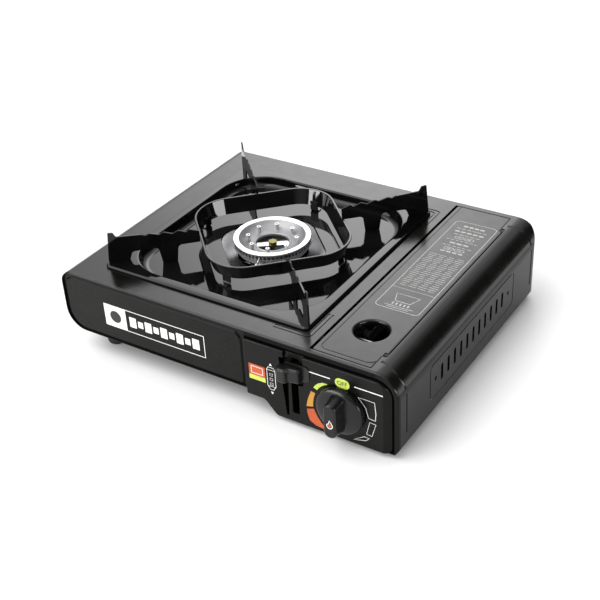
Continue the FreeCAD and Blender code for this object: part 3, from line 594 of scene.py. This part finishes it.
def makeShell():
    h = housing
    bm = prism(housingOutline(0), "y", 0, depth, 10, h["edge"], 3, h["edge"])
    bm = carve(bm, planBlock(0), "INTERSECT")
    inner = carve(prism(housingOutline(h["sheet"]), "y", -4, depth - h["sheet"], 10), planBlock(h["sheet"]),
                  "INTERSECT")
    bm = carve(bm, inner)
    panHole = rectangle(panX, panY, *h["panHole"])
    bm = carve(bm, prism(panHole, "z", deckZ - 5, deckZ + 5, 8))
    gapX, gapY = h["lidGap"]
    left, right, hingeRight = lidLow.x - gapX, h["lidHoleX"], h["hingeHoleX"]
    front, rear = lidLow.y - gapY, lidHigh.y + gapY
    hingeFront, hingeRear = h["hingeHoleY"]
    opening = [(left, front, 1.0), (right, front, 1.0), (right, hingeFront, 0),
               (hingeRight, hingeFront, 1.5), (hingeRight, hingeRear, 1.5), (right, hingeRear, 0),
               (right, rear, 1.0), (left, rear, 1.0)]
    bm = carve(bm, prism(opening, "z", deckZ - 6, deckZ + 5, 3))
    y0, y1, z0, z1 = vents["field"]
    field = rectangle((y0 + y1) / 2, (z0 + z1) / 2, y1 - y0, z1 - z0, 5)
    outline = softPath(field, "x", width + vents["lift"])
    bm = carve(bm, stroke(outline, vents["line"], True, 1))
    bm = carve(bm, ventTools())
    bm = carve(bm, grooveTools())
    for tool in shoulderTools():
        bm = carve(bm, tool)
    for face in bm.faces:  # painted shade: the walls take a low-sheen copy of the deck paint, so they read darker than the deck
        face.material_index = 0 if face.normal.z > 0.35 else 1
    return newPiece("stoveShell", bm, deckPaint, "housing",
                    ("top_deck", "left_side_panel", "right_side_panel", "rear_wall", "left_floor",
                     "right_floor"), 30, shadedSidePaint)


makeShell()
print("shell made")


lid = {"thick": 1.2, "leftX": 262.9, "rightX": 316.0, "hingeX": 318.4, "hingeY": (22.4, 247.1), "edge": 0.6,
       "bead": 0.75, "beadX": 267.0, "beadY": 9.4, "beadLift": 0.25, "hole": (292.0, 49.0), "rollR": 16.6,
       "lip": 5.0, "flapRight": 311.0, "lugs": (25.25, 244.25), "lugHole": (318.9, 5.6, 4.9),
       "barrel": (28.0, 241.5), "barrelZ": 78.6, "barrelR": 1.3}


def makeLid():
    c = lid
    low, high = lidLow, lidHigh
    holeX, holeY = c["hole"]
    left, right, hingeX = c["leftX"], c["rightX"], c["hingeX"]
    hingeFront, hingeRear = c["hingeY"]
    corners = [(left, low.y, 1.5), (right, low.y, 1.0), (right, hingeFront, 0.5), (hingeX, hingeFront, 0.8),
               (hingeX, hingeRear, 0.8), (right, hingeRear, 0.5), (right, high.y, 1.0), (left, high.y, 1.5)]
    bm = prism(corners, "z", deckZ - c["thick"], deckZ, 3, 0, 2, c["edge"])
    bm = carve(bm, prism(rectangle(holeX, holeY, 2 * c["rollR"], 2 * c["rollR"], c["rollR"] - 0.01), "z",
                         deckZ - 5, deckZ + 5, 16))
    lugX, lugWide, lugLong = c["lugHole"]
    for y in c["lugs"]:  # room for the hinge ears
        bm = carve(bm, prism(rectangle(lugX, y, lugWide, lugLong, 0), "z", deckZ - 5, deckZ + 5, 1))
    level = deckZ + c["beadLift"]
    x, y = c["beadX"], c["beadY"]
    path = [(x, depth + 5, level), (x, y + 5, level), (x + 0.7, y + 2.4, level), (x + 2.4, y + 0.7, level),
            (x + 5, y, level), (309, y, level), (312.5, y + 1.2, level), (315.5, y + 4.2, level),
            (322, y + 6.2, level)]
    bm = carve(bm, stroke(path, c["bead"], sides=1))
    roll = spun([(16.62, deckZ), (16.1, deckZ - 0.02), (15.5, deckZ - 0.25), (14.95, deckZ - 0.75),
                 (14.6, deckZ - 1.5), (14.5, deckZ - 2.4), (14.5, deckZ - c["lip"]), (15.3, deckZ - c["lip"]),
                 (15.4, deckZ - 2.4), (16.0, deckZ - 1.4), (16.62, deckZ - 1.2)], (holeX, holeY, 0), "z", 64)
    skirt = prism([(left + 0.1, low.y + 3, 0), (left + 1.2, low.y + 3, 0), (left + 1.2, high.y - 3, 0),
                   (left + 0.1, high.y - 3, 0)], "z", deckZ - 6, deckZ - c["thick"], 1)
    bm = join(bm, roll, skirt)
    for y0, y1 in ((low.y, low.y + 1.2), (high.y - 1.2, high.y)):
        flap = [(left + 3, y0, 0), (c["flapRight"], y0, 0), (c["flapRight"], y1, 0), (left + 3, y1, 0)]
        join(bm, prism(flap, "z", deckZ - 4.5, deckZ - c["thick"], 1))
    barrel = [(hingeX, y, c["barrelZ"]) for y in c["barrel"]]
    join(bm, stroke(barrel, c["barrelR"], sides=3))
    return newPiece("lidPlate", bm, lidPaint, "lid", ("cartridge_lid",))


# rows hold (how many marks, their width, their height)
lidPrint = {"frame": (274.5, 315.0, 84.0, 243.0), "line": 0.35, "split": 116.0, "lift": 0.03, "flat": 0.14,
            "notes": 20, "notesY": 121.5, "notesPitch": 3.05, "noteLengths": (6.2, 8.4, 7.2, 5.0),
            "columns": (-13.2, -4.4, 4.4, 13.2),
            "rows": ((4, 4.4, 2.0), (2, 9.0, 4.2), (6, 3.6, 0.8), (3, 5.2, 2.2), (7, 3.2, 0.8), (2, 8.6, 4.4),
                     (5, 4.0, 0.9), (5, 4.6, 2.2), (6, 3.8, 0.9), (4, 4.2, 2.4)),
            "rowsY": 188.0, "rowPitch": 5.3, "markGap": 1.3, "ovalLine": 0.36,
            "pot": ((-11, 107.5), (11, 107.5), (7, 96.5), (-7, 96.5)), "potLine": 0.5}


def inkStroke(path, radius, axis, level, closed=False):  # a printed line, pressed almost flat
    bm = stroke(path, radius, closed, 1)
    index = "xyz".index(axis)
    for v in bm.verts:
        v.co[index] = level + (v.co[index] - level) * lidPrint["flat"]
    return bm


def inkBar(x, y, sizeX, sizeY, level):
    return prism(rectangle(x, y, sizeX, sizeY, 0), "z", level - 0.03, level + 0.06, 1)


def makeLidPrint():
    c = lidPrint
    x0, x1, y0, y1 = c["frame"]
    level = deckZ + c["lift"]
    frameLine = softPath(rectangle((x0 + x1) / 2, (y0 + y1) / 2, x1 - x0, y1 - y0, 4), "z", level)
    bm = inkStroke(frameLine, c["line"], "z", level, True)
    join(bm, inkStroke([(x0, c["split"], level), (x1, c["split"], level)], c["line"] * 0.7, "z", level))
    middle = (x0 + x1) / 2
    lengths = c["noteLengths"]
    for row in range(c["notes"]):  # ruled bars of several lengths
        y = c["notesY"] + c["notesPitch"] * row
        for k, column in enumerate(c["columns"]):
            join(bm, inkBar(middle + column, y, lengths[(k + 3 * row) % len(lengths)], 0.7, level))
    for row, (count, wide, high) in enumerate(c["rows"]):  # centred rows of plain blocks and ovals
        y = c["rowsY"] + c["rowPitch"] * row
        for k in range(count):
            x = middle + (k - (count - 1) / 2) * (wide + c["markGap"])
            if high > 3:
                oval = softPath(rectangle(x, y, wide, high, high / 2 - 0.1), "z", level, 3)
                join(bm, inkStroke(oval, c["ovalLine"], "z", level, True),
                     inkBar(x, y, wide * 0.45, 0.9, level))
            else:
                join(bm, inkBar(x, y, wide, high, level))
    pot = [(middle + x, y, level) for x, y in c["pot"]]  # a pot over its flames
    join(bm, inkStroke(pot, c["potLine"], "z", level, True))
    for k in range(5):
        join(bm, inkBar(middle - 7.2 + 3.6 * k, 92.5, 1.6, 3.4, level))
    for k in range(2):
        join(bm, inkBar(middle, 88.8 - 2.2 * k, 27 - 7 * k, 0.7, level))
    return newPiece("lidPrint", bm, greyInk, "lid")


makeLid()
makeLidPrint()
print("lid made")

front = {"right": 198.6, "band": 3.4, "bandY": 1.9, "faceY": 0.5, "round": 1.25, "back": 3.2}


def makeFrontPanel():
    c = front
    h = housing
    e = h["sheet"] + 0.15
    right, high, low = c["right"], deckZ - e, h["floorLeft"] + e
    outer = [(e, high, h["leftTop"] - e), (right, high, 0), (right, low, 0), (e, low, h["leftFoot"] - e)]
    bm = prism(outer, "y", c["bandY"], c["back"], 10)
    left, right, high, low = e + c["band"] - 0.4, right - 2.6, high - c["band"], low + 1.2
    face = [(left, high, 8.0), (right, high, 9.0), (right, low, 3.0), (left, low, 17.0)]
    join(bm, prism(face, "y", c["faceY"], c["bandY"] + 0.6, 10, c["round"], 1))
    return newPiece("frontPlate", bm, panelPaint, "housing", ("front_panel",))


rim = {"left": 199.2, "y": 0.25, "back": 1.6, "gap": 2.1}
controlShape = {"left": 199.5, "right": 336.6, "top": 73.0, "low": 4.2, "step": 17.0, "stepX": (217.5, 229.0)}


def controlOutline(i):  # the control plate's outline, made smaller all round by i
    c = controlShape
    left, right, top, low, step = c["left"] + i, c["right"] - i, c["top"] - i, c["low"] + i, c["step"] + i
    x0, x1 = c["stepX"]
    return [(left, top, 2.0), (right, top, 14.0 - i), (right, low, 5.0 - i / 2),
            (x1 - i, low, 5.0), (x0 - i, step, 5.0), (left, step, 1.5)]


def makeFrontRim():
    c = rim
    bm = prism(housingOutline(0.35), "y", c["y"], c["back"], 10, 0.3, 2)
    bm = carve(bm, prism(controlOutline(-c["gap"]), "y", -5, 5, 8))
    bm = carve(bm, prism([(-5, 0, 0), (c["left"], 0, 0), (c["left"], 90, 0), (-5, 90, 0)], "y", -5, 5, 1))
    return newPiece("frontRim", bm, shadedSidePaint, "housing")


badge = {"x": (47.5, 157.0), "z": (37.0, 59.0), "line": 0.55, "block": 24.0, "disc": 6.2, "barStart": 4.0,
         "bars": (7.4, 5.6, 7.4, 5.6, 7.4, 5.6, 7.4, 5.6, 7.4), "barGap": 2.1, "barHigh": (10.5, 6.5)}


def makeBadge():  # a plain frame with a filled end, a disc and a row of plain bars
    c = badge
    level = front["faceY"] - 0.03
    x0, x1 = c["x"]
    z0, z1 = c["z"]
    corners = [(x0, level, z0), (x1, level, z0), (x1, level, z1), (x0, level, z1)]
    bm = inkStroke(corners, c["line"], "y", level, True)
    blockEnd = x0 + c["block"]
    block = prism([(x0, z0, 0), (blockEnd, z0, 0), (blockEnd, z1, 0), (x0, z1, 0)], "y",
                  level - 0.05, level + 0.04, 1)
    join(bm, block)
    x = blockEnd + c["barStart"]
    for k, wide in enumerate(c["bars"]):
        bar = rectangle(x + wide / 2, (z0 + z1) / 2, wide, c["barHigh"][k % 2], 0.4)
        join(bm, prism(bar, "y", level - 0.05, level + 0.04, 2))
        x += wide + c["barGap"]
    newPiece("frontBadge", bm, whiteInk, "housing")
    r = c["disc"]
    disc = prism(rectangle(x0 + c["block"] / 2, (z0 + z1) / 2, 2 * r, 2 * r, r - 0.01), "y", level - 0.12,
                 level - 0.04, 8)
    newPiece("frontBadgeDisc", disc, darkInk, "housing")


makeFrontPanel()
makeFrontRim()
makeBadge()
print("front made")


panel = {"out": -2.0, "back": 2.8, "edge": 1.1, "bendX": 329.6, "bend": 0.5,
         "pocket": (238.5, 257.4, 44.0, 75.0), "pocketDeep": 2.6, "slot": (248.8, 41.0, 6.8, 54.0, 1.2),
         "wedge": ((234.4, 67, 1), (239.4, 9.5, 0.3), (241.6, 9.5, 0.3), (243.6, 67, 1)), "shaftR": 8.0}
knobLow, knobHigh = boxMm("control_knob")
knobX, knobZ = (knobLow.x + knobHigh.x) / 2, (knobLow.z + knobHigh.z) / 2
knobR = (knobHigh.x - knobLow.x) / 2


def makeControlPanel():
    c = panel
    bm = prism(controlOutline(0), "y", c["out"], c["back"], 8, c["edge"], 3)
    for x in (c["bendX"], c["bendX"] + 2):
        geom = bm.verts[:] + bm.edges[:] + bm.faces[:]
        bmesh.ops.bisect_plane(bm, geom=geom, plane_co=(x, 0, 0), plane_no=(1, 0, 0))
    for v in bm.verts:
        if v.co.x > c["bendX"] and v.co.y < 1:
            v.co.y += c["bend"] * (v.co.x - c["bendX"])
    x0, x1, z0, z1 = c["pocket"]
    pocket = prism(rectangle((x0 + x1) / 2, (z0 + z1) / 2, x1 - x0, z1 - z0, 2.5), "y", -6,
                   c["out"] + c["pocketDeep"], 4)
    bm = carve(bm, pocket)
    slots = prism(rectangle(*c["slot"]), "y", -5, 5, 3)
    join(slots, prism(c["wedge"], "y", -5, 5, 3))
    bm = carve(bm, slots)
    r = c["shaftR"]
    bm = carve(bm, prism(rectangle(knobX, knobZ, 2 * r, 2 * r, r - 0.01), "y", -6, 6, 8))
    bm.normal_update()
    for face in bm.faces:  # painted shade: the bent-back margin takes the low-sheen wall copy of the paint, so it reads darker
        face.material_index = int(face.normal.x > 0.25)
    return newPiece("controlPlate", bm, panelPaint, "housing", ("control_panel",), 30,
                    shadedSidePaint)


scale = {"level": -2.03, "high": 0.05, "lines": ((258.5, 282.8), (304.7, 330.0)), "lineZ": 62.0,
         "lineHalf": 0.45, "off": (293.8, 61.0, 13.2, 9.0), "word": "OFF", "wordSize": 5.4, "thin": 0.22,
         "line": 0.3, "label": (204, 220, 39.5, 50.5), "labelFoot": (204, 220, 35, 39.4),
         "labelBox": (206.4, 217.6, 41.6, 48.4)}
outlines = (((307.9, 52.9), (322.6, 52.9), (323.6, 42.0), (323.2, 35.0), (317.0, 35.5), (314.6, 44.7)),
            ((318.0, 31.7), (323.5, 31.3), (319.8, 18.2), (314.9, 18.8)),
            ((312.8, 15.3), (317.4, 14.9), (313.9, 11.5), (302.7, 8.6)))
# each coloured mark: (degrees, inner radius, outer radius) around the knob
arcs = {"lime": ((124, 23.0, 23.6), (132, 23.6, 26.0), (142, 24.2, 27.6), (150, 24.6, 28.2),
                 (156, 24.9, 28.6)),
        "amber": ((166, 25.4, 29.4), (174, 25.9, 30.2), (182, 26.6, 31.6), (190, 27.6, 33.4),
                  (197, 28.5, 35.2)),
        "red": ((201, 28.6, 35.8), (209, 28.8, 37.6), (218, 29.2, 39.2), (227, 29.8, 37.0),
                (236, 30.6, 33.6), (241, 30.8, 31.6))}
# the cartridge sign: its outline, its two cross lines and the arrow heads above and below it
icon = {"outline": ((222, 50.5), (223.6, 52.8), (228.4, 52.8), (230, 50.5), (230, 34), (227.6, 30.2),
                    (224.4, 30.2), (222, 34)),
        "cross": (33.4, 50.0), "crossX": (222.2, 229.8), "marks": (46.5, 41.8, 37.1), "markX": (224.6, 227.4),
        "arrows": (((226, 57.2), (224.6, 54.6), (227.4, 54.6)), ((226, 25.4), (227.4, 28), (224.6, 28)))}


def inkShape(points, level, high=0.05):
    return prism([(x, z, 0) for x, z in points], "y", level - high, level + 0.03, 1)


def inkLoop(points, level, radius):
    return inkStroke([(x, level, z) for x, z in points], radius, "y", level, True)


def makePanelPrint():
    c = scale
    level = c["level"]
    white = bmesh.new()
    for x0, x1 in c["lines"]:
        z, half = c["lineZ"], c["lineHalf"]
        join(white, inkShape(((x0, z - half), (x1, z - half), (x1, z + half), (x0, z + half)), level))
    for points in outlines:
        join(white, inkLoop(points, level, c["line"]))
    join(white, inkLoop(icon["outline"], level, c["line"]))
    for z in icon["cross"]:
        join(white, inkLoop([(x, z) for x in icon["crossX"]], level, c["thin"]))
    x0, x1 = icon["markX"]
    for z in icon["marks"]:  # three plain marks inside the cartridge sign
        join(white, inkLoop(((x0, z), (x1, z), (x1, z - 2.2), (x0, z - 2.2)), level, c["thin"]))
    for points in icon["arrows"]:
        join(white, inkShape(points, level))
    x0, x1, z0, z1 = c["labelBox"]
    join(white, inkLoop(((x0, z1), (x1, z1), (x1, z0), (x0, z0)), level - 0.06, 0.42))
    newPiece("panelPrintWhite", white, whiteInk, "housing")
    offX, offZ, offWide, offHigh = c["off"]
    lime = prism(rectangle(offX, offZ, offWide, offHigh, offHigh / 2 - 0.05), "y", level - c["high"],
                 level + 0.03, 10)
    x0, x1, z0, z1 = c["labelFoot"]
    join(lime, inkShape(((x0, z1), (x0, z0), (x1, z0), (x1, z1)), level))
    x0, x1, z0, z1 = c["label"]
    amber, red = bmesh.new(), inkShape(((x0, z1), (x0, z0), (x1, z0), (x1, z1)), level)
    for bm, name in ((lime, "lime"), (amber, "amber"), (red, "red")):
        outerEdge = [(a, outer) for a, inner, outer in arcs[name]]
        innerEdge = [(a, inner) for a, inner, outer in arcs[name]]
        points = [(knobX + r * math.cos(math.radians(a)), knobZ + r * math.sin(math.radians(a)))
                  for a, r in outerEdge + innerEdge[::-1]]
        join(bm, inkShape(points, level))
    newPiece("panelPrintLime", lime, limeInk, "housing")
    newPiece("panelPrintAmber", amber, amberInk, "housing")
    newPiece("panelPrintRed", red, redInk, "housing")
    data = bpy.data.curves.new("off", "FONT")
    data.body = c["word"]
    data.size = c["wordSize"]
    data.extrude = 0.03
    data.align_x = data.align_y = "CENTER"
    ob = bpy.data.objects.new("off", data)
    bpy.context.scene.collection.objects.link(ob)
    word = evaluated(ob)
    bpy.data.objects.remove(ob)
    place = Matrix.Translation((offX, level - c["high"] - 0.03, offZ))
    bmesh.ops.transform(word, matrix=place @ Matrix.Rotation(math.pi / 2, 4, "X"), verts=word.verts)
    newPiece("panelPrintOff", word, darkInk, "housing")


knob = {"base": -3.0, "reach": 21.9, "grip": (13.0, 37.0), "gripEdge": 4.6, "taper": 0.84, "shorten": 0.13,
        "foot": 1.1, "flameAt": (0.3, -2.6), "flameLine": 0.42,
        "flame": ((0, 4.6), (1.6, 2.0), (2.5, 0.2), (2.5, -1.6), (1.4, -3.1), (0, -3.5), (-1.4, -3.1),
                  (-2.5, -1.6), (-2.4, 0.2), (-1.0, 1.2)), "coreSize": 0.6, "coreDrop": 0.5}


def makeKnob():
    c = knob
    profile = [(4.2, c["base"]), (knobR - 0.4, c["base"]), (knobR, c["base"] - 0.6), (knobR, -6.4),
               (knobR - 0.5, -7.6), (knobR - 1.6, -8.4), (knobR - 4, -9.2), (knobR - 9, -10.2), (4.2, -10.8)]
    bm = spun(profile, (knobX, 0, knobZ), "y", 96)
    grip = prism(rectangle(knobX, knobZ, *c["grip"], c["grip"][0] / 2 - 0.05), "y", -c["reach"], -7.6, 12,
                 c["gripEdge"], 8)
    for v in grip.verts:
        away = (-8 - v.co.y) / (c["reach"] - 8)
        v.co.x = knobX + (v.co.x - knobX) * (c["foot"] - (c["foot"] - c["taper"]) * max(0, away) ** 0.7)
        v.co.z = knobZ + (v.co.z - knobZ) * (1 - c["shorten"] * max(0, away) ** 1.4)
    join(bm, grip)
    newPiece("knobGrip", bm, knobPlastic, "knob", ("control_knob",))
    level = -c["reach"] - 0.02
    flameX, flameZ = knobX + c["flameAt"][0], knobZ + c["flameAt"][1]
    mark = inkLoop([(flameX + x, flameZ + z) for x, z in c["flame"]], level, c["flameLine"])
    newPiece("knobFlame", mark, whiteInk, "knob")
    small, drop = c["coreSize"], c["coreDrop"]
    core = inkShape([(flameX + small * x, flameZ + small * z - drop) for x, z in c["flame"]], level)
    newPiece("knobFlameCore", core, redInk, "knob")


def copyNode(name):  # a merged copy of a CAD node's mesh, in millimetres
    bm = bmesh.new()
    bm.from_mesh(nodes[name].data)
    bmesh.ops.remove_doubles(bm, verts=bm.verts, dist=0.000002)
    back = Matrix.Scale(1 / mm, 4) @ Matrix.Translation(-homeCorner)
    bmesh.ops.transform(bm, matrix=back, verts=bm.verts)
    return bm


lever = {"cut": -2.75, "z": (49.0, 62.6), "round": 2.2,
         "plan": ((236.4, -2.6, 0), (235.6, -9.0, 3.0), (238.6, -12.2, 2.0), (245.6, -12.3, 2.2),
                  (247.4, -8.6, 2.0), (256.2, -7.4, 2.5), (256.6, -2.6, 0))}


def makeLever():
    c = lever
    bm = copyNode("lock_lever")
    geom = bm.verts[:] + bm.edges[:] + bm.faces[:]
    cut = bmesh.ops.bisect_plane(bm, geom=geom, plane_co=(0, c["cut"], 0), plane_no=(0, -1, 0),
                                 clear_outer=True)
    openEdges = [e for e in cut["geom_cut"] if isinstance(e, bmesh.types.BMEdge)]
    bmesh.ops.contextual_create(bm, geom=openEdges)
    low, high = c["z"]
    tab = prism(c["plan"], "z", low, high, 5, c["round"], 4, c["round"])
    join(bm, tab)
    newPiece("leverTab", bm, leverPlastic, "lever", ("lock_lever",))


makeControlPanel()
makePanelPrint()
makeKnob()
makeLever()
print("controls made")


# inside and outside are (grow, height), flange (grow, corner radius, height), lip (grow, corner grow, height)
pan = {"outer": (214.0, 222.0), "bowl": (196.0, 204.0), "corner": 44.0, "hole": 89.4, "holeCorner": 24.6,
       "inside": ((-9.0, 74.0), (-6.2, 74.35), (-3.9, 75.6), (-2.4, 77.6), (-1.6, 79.9), (-1.0, 81.6),
                  (-0.1, 82.7), (1.2, 83.0)),
       "flange": ((-1.5, 4.0, 82.95), (-1.2, 4.2, 82.9), (0, 5.2, 81.7), (0, 5.2, 80.55), (-0.9, 4.6, 80.6),
                  (-0.9, 4.6, 81.5), (-2.4, 3.6, 82.05)),
       "outside": ((1.2, 82.1), (0.2, 81.0), (-0.6, 79.0), (-1.6, 76.0), (-5.0, 73.4), (-9.0, 73.1)),
       "lip": ((1.0, 0.5, 74.0), (-0.2, -0.1, 73.7), (-0.9, -0.4, 72.9), (-0.9, -0.4, 71.9), (0.7, 0.4, 72.3),
               (0.7, 0.4, 73.2))}


def panRing(size, grow, radius, z):
    return (size[0] + 2 * grow, size[1] + 2 * grow, radius, z)


def squareRings(size, corner, rows):
    return [(size + grow, size + grow, corner + cornerGrow, z) for grow, cornerGrow, z in rows]


def makePan():
    c = pan
    bowl, r = c["bowl"], c["corner"]
    rings = [panRing(bowl, grow, r + grow, z) for grow, z in c["inside"]]
    rings += [panRing(c["outer"], *row) for row in c["flange"]]
    rings += [panRing(bowl, grow, r + grow, z) for grow, z in c["outside"]]
    bm = loft(rings, 12, 0, (panX, panY))
    hole = prism(rectangle(0, 0, c["hole"], c["hole"], c["holeCorner"]), "z", 66, 79, 8)
    turn = Matrix.Translation((panX, panY, 0)) @ Matrix.Rotation(math.radians(45), 4, "Z")
    bmesh.ops.transform(hole, matrix=turn, verts=hole.verts)
    bm = carve(bm, hole)
    lip = loft(squareRings(c["hole"], c["holeCorner"], c["lip"]), 8, 45, (panX, panY), False, True)
    join(bm, lip)
    return newPiece("panBowl", bm, blackEnamel, "pan_set", ("drip_pan",), 28)


ring = {"low": (120.6, 29.3), "high": (130.0, 34.0), "bottom": 80.5, "thick": 2.0,
        "rim": ((-0.6, -0.3, 93.0), (1.4, 0.7, 93.3), (2.0, 1.0, 94.1), (1.5, 0.8, 94.9), (0.9, 0.5, 95.0),
                (-1.5, -0.8, 94.97), (-2.3, -1.2, 94.6), (-2.7, -1.3, 93.2)), "legR": 73.2, "legWide": 8.0,
        "leg": ((-1.0, 84.5, 0), (0.2, 84.5, 0), (0.2, 75.0, 1.6), (6.0, 75.0, 0.3), (6.0, 74.05, 0.3),
                (-1.0, 74.05, 2.4))}


def makeRing():
    c = ring
    foot, thick = c["bottom"], c["thick"]
    rings = squareRings(*c["low"], ((0, 0, foot),)) + squareRings(*c["high"], c["rim"])
    rings += squareRings(*c["low"], ((-thick, -thick / 2, foot),))
    bm = loft(rings, 12, 45, (panX, panY), False, True)
    for k in range(4):  # four legs with feet turned outwards
        outline = [(c["legR"] + out, z, radius) for out, z, radius in c["leg"]]
        leg = prism(outline, "y", -c["legWide"] / 2, c["legWide"] / 2, 5)
        turn = Matrix.Translation((panX, panY, 0)) @ Matrix.Rotation(math.radians(90 * k), 4, "Z")
        bmesh.ops.transform(leg, matrix=turn, verts=leg.verts)
        join(bm, leg)
    return newPiece("ringBand", bm, ringEnamel, "pan_set", ("windshield_ring",), 40)


# profiles are (radius, height)
burner = {"top": 84.4, "teeth": 60, "bandZ": (79.5, 82.0), "bandR": 34.0, "gapDeep": 2.6, "rimDeep": 0.3,
          "profile": ((36.0, 83.9), (35.6, 84.4), (30.9, 84.4), (30.4, 84.0), (28.6, 82.2), (25.6, 79.6),
                      (20.4, 77.9), (17.6, 77.4), (16.9, 77.9), (15.9, 77.9), (15.2, 77.3), (15.0, 75.6),
                      (17.0, 75.6), (25.0, 77.2), (28.0, 79.2), (30.6, 78.0), (36.2, 78.0), (36.4, 78.5),
                      (36.2, 79.0), (35.6, 79.1), (35.6, 82.2), (36.0, 82.5)),
          "dish": ((32.7, 66.4), (38.0, 67.2), (44.0, 69.2), (50.0, 71.6), (58.4, 72.5), (58.4, 73.0),
                   (50.0, 72.2), (43.6, 69.8), (38.0, 67.8), (32.7, 67.0))}


def makeBurnerHead():
    c = burner
    bm = spun(c["profile"], (panX, panY, 0), "z", 2 * c["teeth"])
    bm.normal_update()
    bmesh.ops.recalc_face_normals(bm, faces=bm.faces)
    band = []
    for face in bm.faces:
        middle = face.calc_center_median() - Vector((panX, panY, 0))
        if c["bandZ"][0] < middle.z < c["bandZ"][1] and middle.xy.length > c["bandR"]:
            band.append((math.atan2(middle.y, middle.x), face))
    gaps = [face for k, (angle, face) in enumerate(sorted(band, key=lambda row: row[0])) if k % 2]
    grown = bmesh.ops.extrude_discrete_faces(bm, faces=gaps)["faces"]
    for face in grown:
        bmesh.ops.translate(bm, vec=face.normal * -c["gapDeep"], verts=face.verts)
    for face in bm.faces:  # the flat rim is machined, the rest stays as cast
        face.material_index = int(face.calc_center_median().z < c["top"] - c["rimDeep"])
    newPiece("burnerHead", bm, brightRim, "housing", ("burner_ring", "burner_inner_cone"), 30,
             castAluminium)


def makeDish():  # shallow plated dish around the burner
    bm = spun(burner["dish"], (panX, panY, 0), "z", 96)
    newPiece("burnerDish", bm, zincPlate, "housing", ("burner_dish",))


def softenEdges(name, radius):
    soft = nodes[name].modifiers.new("softEdges", "BEVEL")
    soft.width = radius
    soft.segments = 2
    soft.limit_method = "ANGLE"
    soft.angle_limit = math.radians(35)
    nodes[name].modifiers.move(len(nodes[name].modifiers) - 1, 1)


makePan()
makeRing()
makeBurnerHead()
makeDish()
for place in ("front_left", "front_right", "rear_left", "rear_right"):
    softenEdges("pot_support_" + place, 0.00035)
print("pan, ring and burner made")
